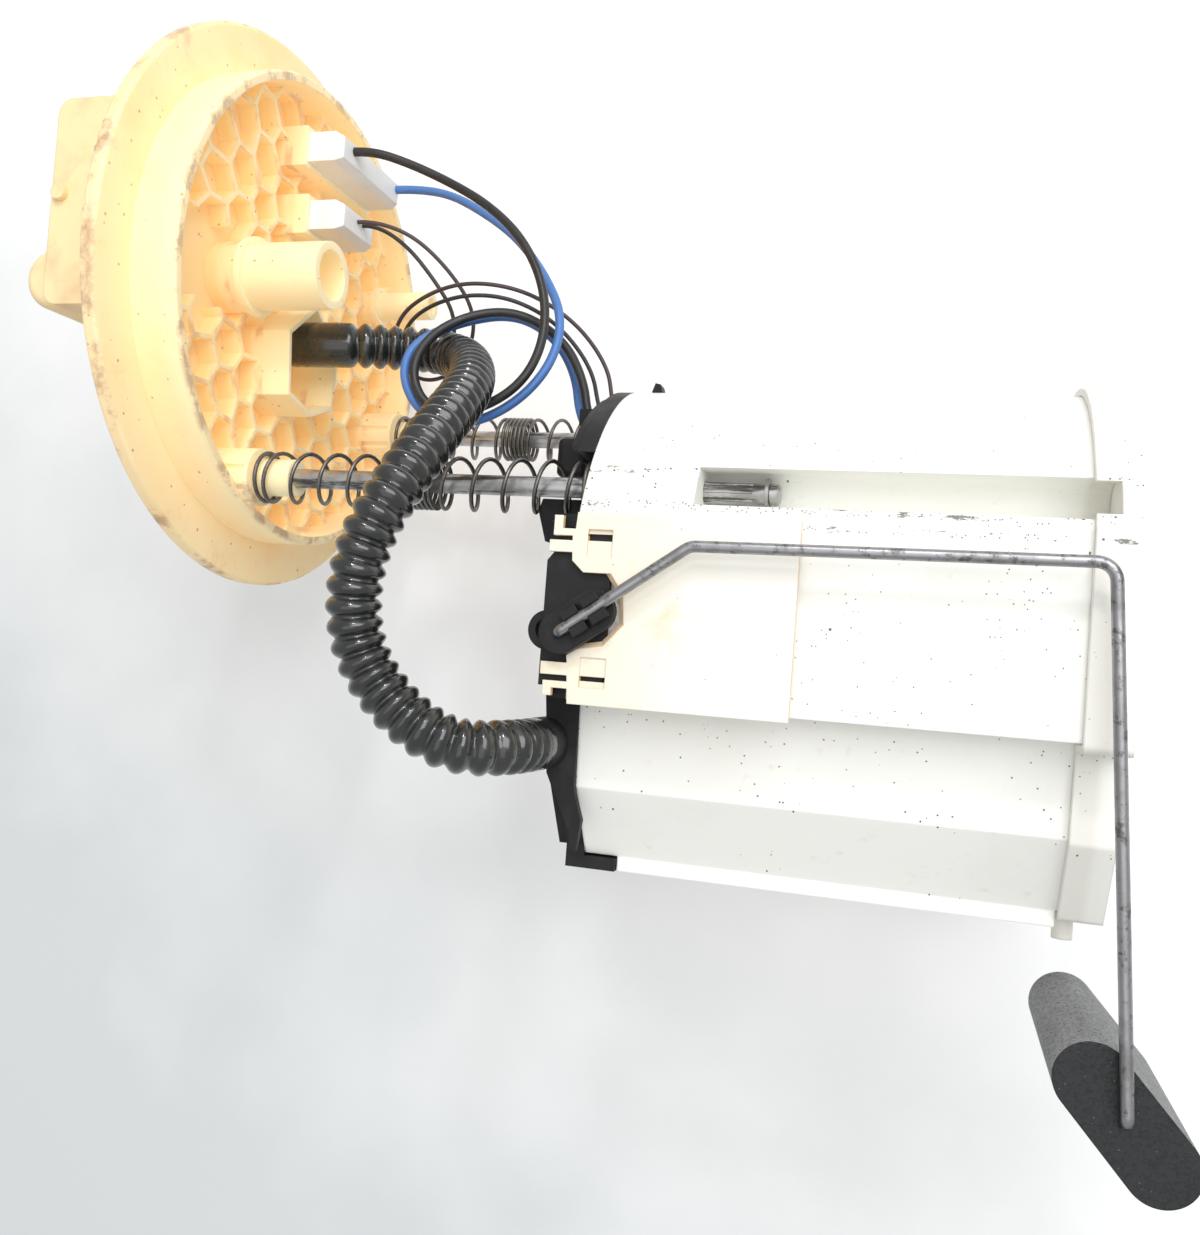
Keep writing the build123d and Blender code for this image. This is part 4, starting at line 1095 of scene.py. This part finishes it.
@dataclass
class Stage:
    """Pale table behind the module, soft light and the camera.

    Lengths are in millimetres, apart from the camera's clip range, in metres.
    """

    table_y: float = 84.0
    table_half: float = 3000.0
    centre: Point = (-60.0, 0.0, -110.0)
    camera_at: Point = (-90.4, -295.2, -189.2)
    camera_right: Point = (0.07474, 0.27343, -0.95898)
    camera_down: Point = (-0.99673, 0.05019, -0.06337)
    camera_forward: Point = (0.03081, 0.96058, 0.27628)
    sensor: float = 36.0
    focal_px: float = 1157.144
    frame_px: float = 1235.0
    clip: tuple[float, float] = (0.01, 50.0)
    table_white: Colour = (1.0, 1.0, 1.0)
    # Colour of the painted shade on the table.
    table_painted_shade: Colour = (0.66, 0.69, 0.70)
    tone_range: tuple[float, float] = (0.15, 1.0)
    # Direction along which the painted shade grows, towards the lower left.
    painted_shade_fall: Point = (-2.3, 0.0, 1.9)
    cloud_scale: float = 16.0
    cloud_detail: float = 4.0
    cloud_share: float = 0.55
    table_glow: float = 0.35
    surround: float = 0.55
    lamps: tuple[Lamp, ...] = (
        Lamp("window", (0.55, -1.20, -0.75), 1.1, 15.0),
        Lamp("fill", (-0.35, -1.45, -0.1), 1.3, 3.8),
        Lamp("glint", (0.70, -0.75, -0.15), 0.10, 2.2))

    def camera(self) -> None:
        """Put the camera where it looks along the module from below its flange."""
        data = bpy.data.cameras.new("camera")
        data.lens = self.focal_px * self.sensor / self.frame_px
        data.clip_start, data.clip_end = self.clip
        camera = place_object("camera", data)
        axes = (self.camera_right, self.camera_down, self.camera_forward)
        right, down, ahead = (Vector(axis).normalized() for axis in axes)
        turn = Matrix((right, -down, -ahead)).transposed().to_4x4()
        camera.matrix_world = Matrix.Translation(Vector(self.camera_at) * MM) @ turn
        bpy.context.scene.camera = camera

    def table_material(self) -> bpy.types.Material:
        """White table, seen only from the module's side: directly, in gloss or through glass."""
        material = bpy.data.materials.new("table")
        material.use_nodes = True
        graph = Graph(material.node_tree)
        graph.tree.nodes.clear()
        ray = graph.add("ShaderNodeLightPath").outputs
        side = graph.add("ShaderNodeNewGeometry").outputs
        seen = graph.largest(ray["Is Camera Ray"], ray["Is Glossy Ray"],
                             ray["Is Transmission Ray"])
        share = graph.product(seen, graph.maths("SUBTRACT", 1.0, side["Backfacing"]))
        clear = graph.add("ShaderNodeBsdfTransparent").outputs[0]
        out = graph.add("ShaderNodeOutputMaterial")
        mixed = graph.mix_shaders(share, clear, self.table_tone(graph))
        graph.feed(out.inputs["Surface"], mixed)
        return material

    def table_tone(self, graph: Graph) -> Socket:
        """Table surface: white beside the reservoir, with painted shade, cooler and cloudy, that
        grows towards the lower left.

        Args:
            graph: the material's nodes.

        Returns:
            The surface's shader.
        """
        place = graph.add("ShaderNodeTexCoord").outputs["Object"]
        fade = graph.add("ShaderNodeVectorMath", operation="DOT_PRODUCT")
        cloud = graph.add("ShaderNodeTexNoise")
        ramp = graph.add("ShaderNodeValToRGB")
        lit = graph.add("ShaderNodeBsdfDiffuse")
        glow = graph.add("ShaderNodeEmission")
        for target, value in (
                (fade.inputs[0], place),
                (fade.inputs[1], self.painted_shade_fall),
                (cloud.inputs["Vector"], place),
                (cloud.inputs["Scale"], self.cloud_scale),
                (cloud.inputs["Detail"], self.cloud_detail),
                (lit.inputs["Color"], ramp.outputs["Color"]),
                (glow.inputs["Color"], ramp.outputs["Color"])):
            graph.feed(target, value)
        # Painted shade, made uneven by clouds, growing towards the lower left.
        tone = graph.maths("MULTIPLY_ADD", cloud.outputs["Fac"], self.cloud_share,
                           fade.outputs["Value"])
        graph.feed(ramp.inputs["Fac"], tone)
        tones = zip(ramp.color_ramp.elements, self.tone_range, (self.table_white, self.table_painted_shade))
        for element, position, colour in tones:
            element.position = position
            element.color = (*colour, 1)
        return graph.mix_shaders(self.table_glow, lit.outputs[0], glow.outputs[0])

    def table(self) -> None:
        """Flat table behind the module, facing the camera."""
        mesh = bpy.data.meshes.new("table")
        x, z, half = self.centre[0], self.centre[2], self.table_half
        corners = [(x - half, self.table_y, z - half), (x + half, self.table_y, z - half),
                   (x + half, self.table_y, z + half), (x - half, self.table_y, z + half)]
        mesh.from_pydata(mm(corners), [], [(0, 1, 2, 3)])
        mesh.materials.append(self.table_material())
        table = place_object("table", mesh)
        table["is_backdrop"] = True

    def world(self) -> None:
        """Soft white surround, plain white where it is seen directly."""
        world = bpy.data.worlds.new("surround")
        bpy.context.scene.world = world
        world.use_nodes = True
        graph = Graph(world.node_tree)
        soft = graph.tree.nodes["Background"]
        plain = graph.add("ShaderNodeBackground")
        for shade, strength in ((soft, self.surround), (plain, 1.0)):
            graph.feed(shade.inputs["Color"], (1.0, 1.0, 1.0, 1.0))
            graph.feed(shade.inputs["Strength"], strength)
        ray = graph.add("ShaderNodeLightPath").outputs
        mixed = graph.mix_shaders(ray["Is Camera Ray"], soft.outputs[0], plain.outputs[0])
        graph.feed(graph.tree.nodes["World Output"].inputs["Surface"], mixed)

    def light(self, lamp: Lamp) -> None:
        """Add a lamp, aimed at the module."""
        data = bpy.data.lights.new(lamp.name, "AREA")
        data.shape = "SQUARE"
        data.size = lamp.size
        data.energy = lamp.power
        holder = place_object(lamp.name, data)
        holder.location = lamp.at
        aim = Vector(self.centre) * MM - Vector(lamp.at)
        holder.rotation_euler = aim.to_track_quat("-Z", "Y").to_euler()

    def build(self) -> None:
        """Set the whole stage."""
        bpy.context.scene.view_settings.view_transform = "Standard"
        self.camera()
        self.table()
        self.world()
        for lamp in self.lamps:
            self.light(lamp)


# ------------------------------------------------------------------ the module
class FuelPumpModule:
    """The whole module: finishes on the CAD nodes and the pieces made here."""

    def __init__(self) -> None:
        """Load the frame and measure it."""
        self.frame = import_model()
        self.cad_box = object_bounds()
        self.finishes = Finishes()

    def build(self) -> None:
        """Build the stage and every piece in order, and dress them."""
        Stage().build()
        log.info("stage set")
        for maker in (FuelHose(), *LEADS, *SPRINGS):
            piece = maker.build(self.finishes)
            log.info("%s: %d faces", piece.name, len(piece.data.polygons))
        self.finishes.dress(self.frame)


def main() -> None:
    """Build the module and report each piece."""
    logging.basicConfig(level=logging.INFO, format="%(name)s %(message)s")
    module = FuelPumpModule()
    module.build()


if __name__ == "__main__":
    main()
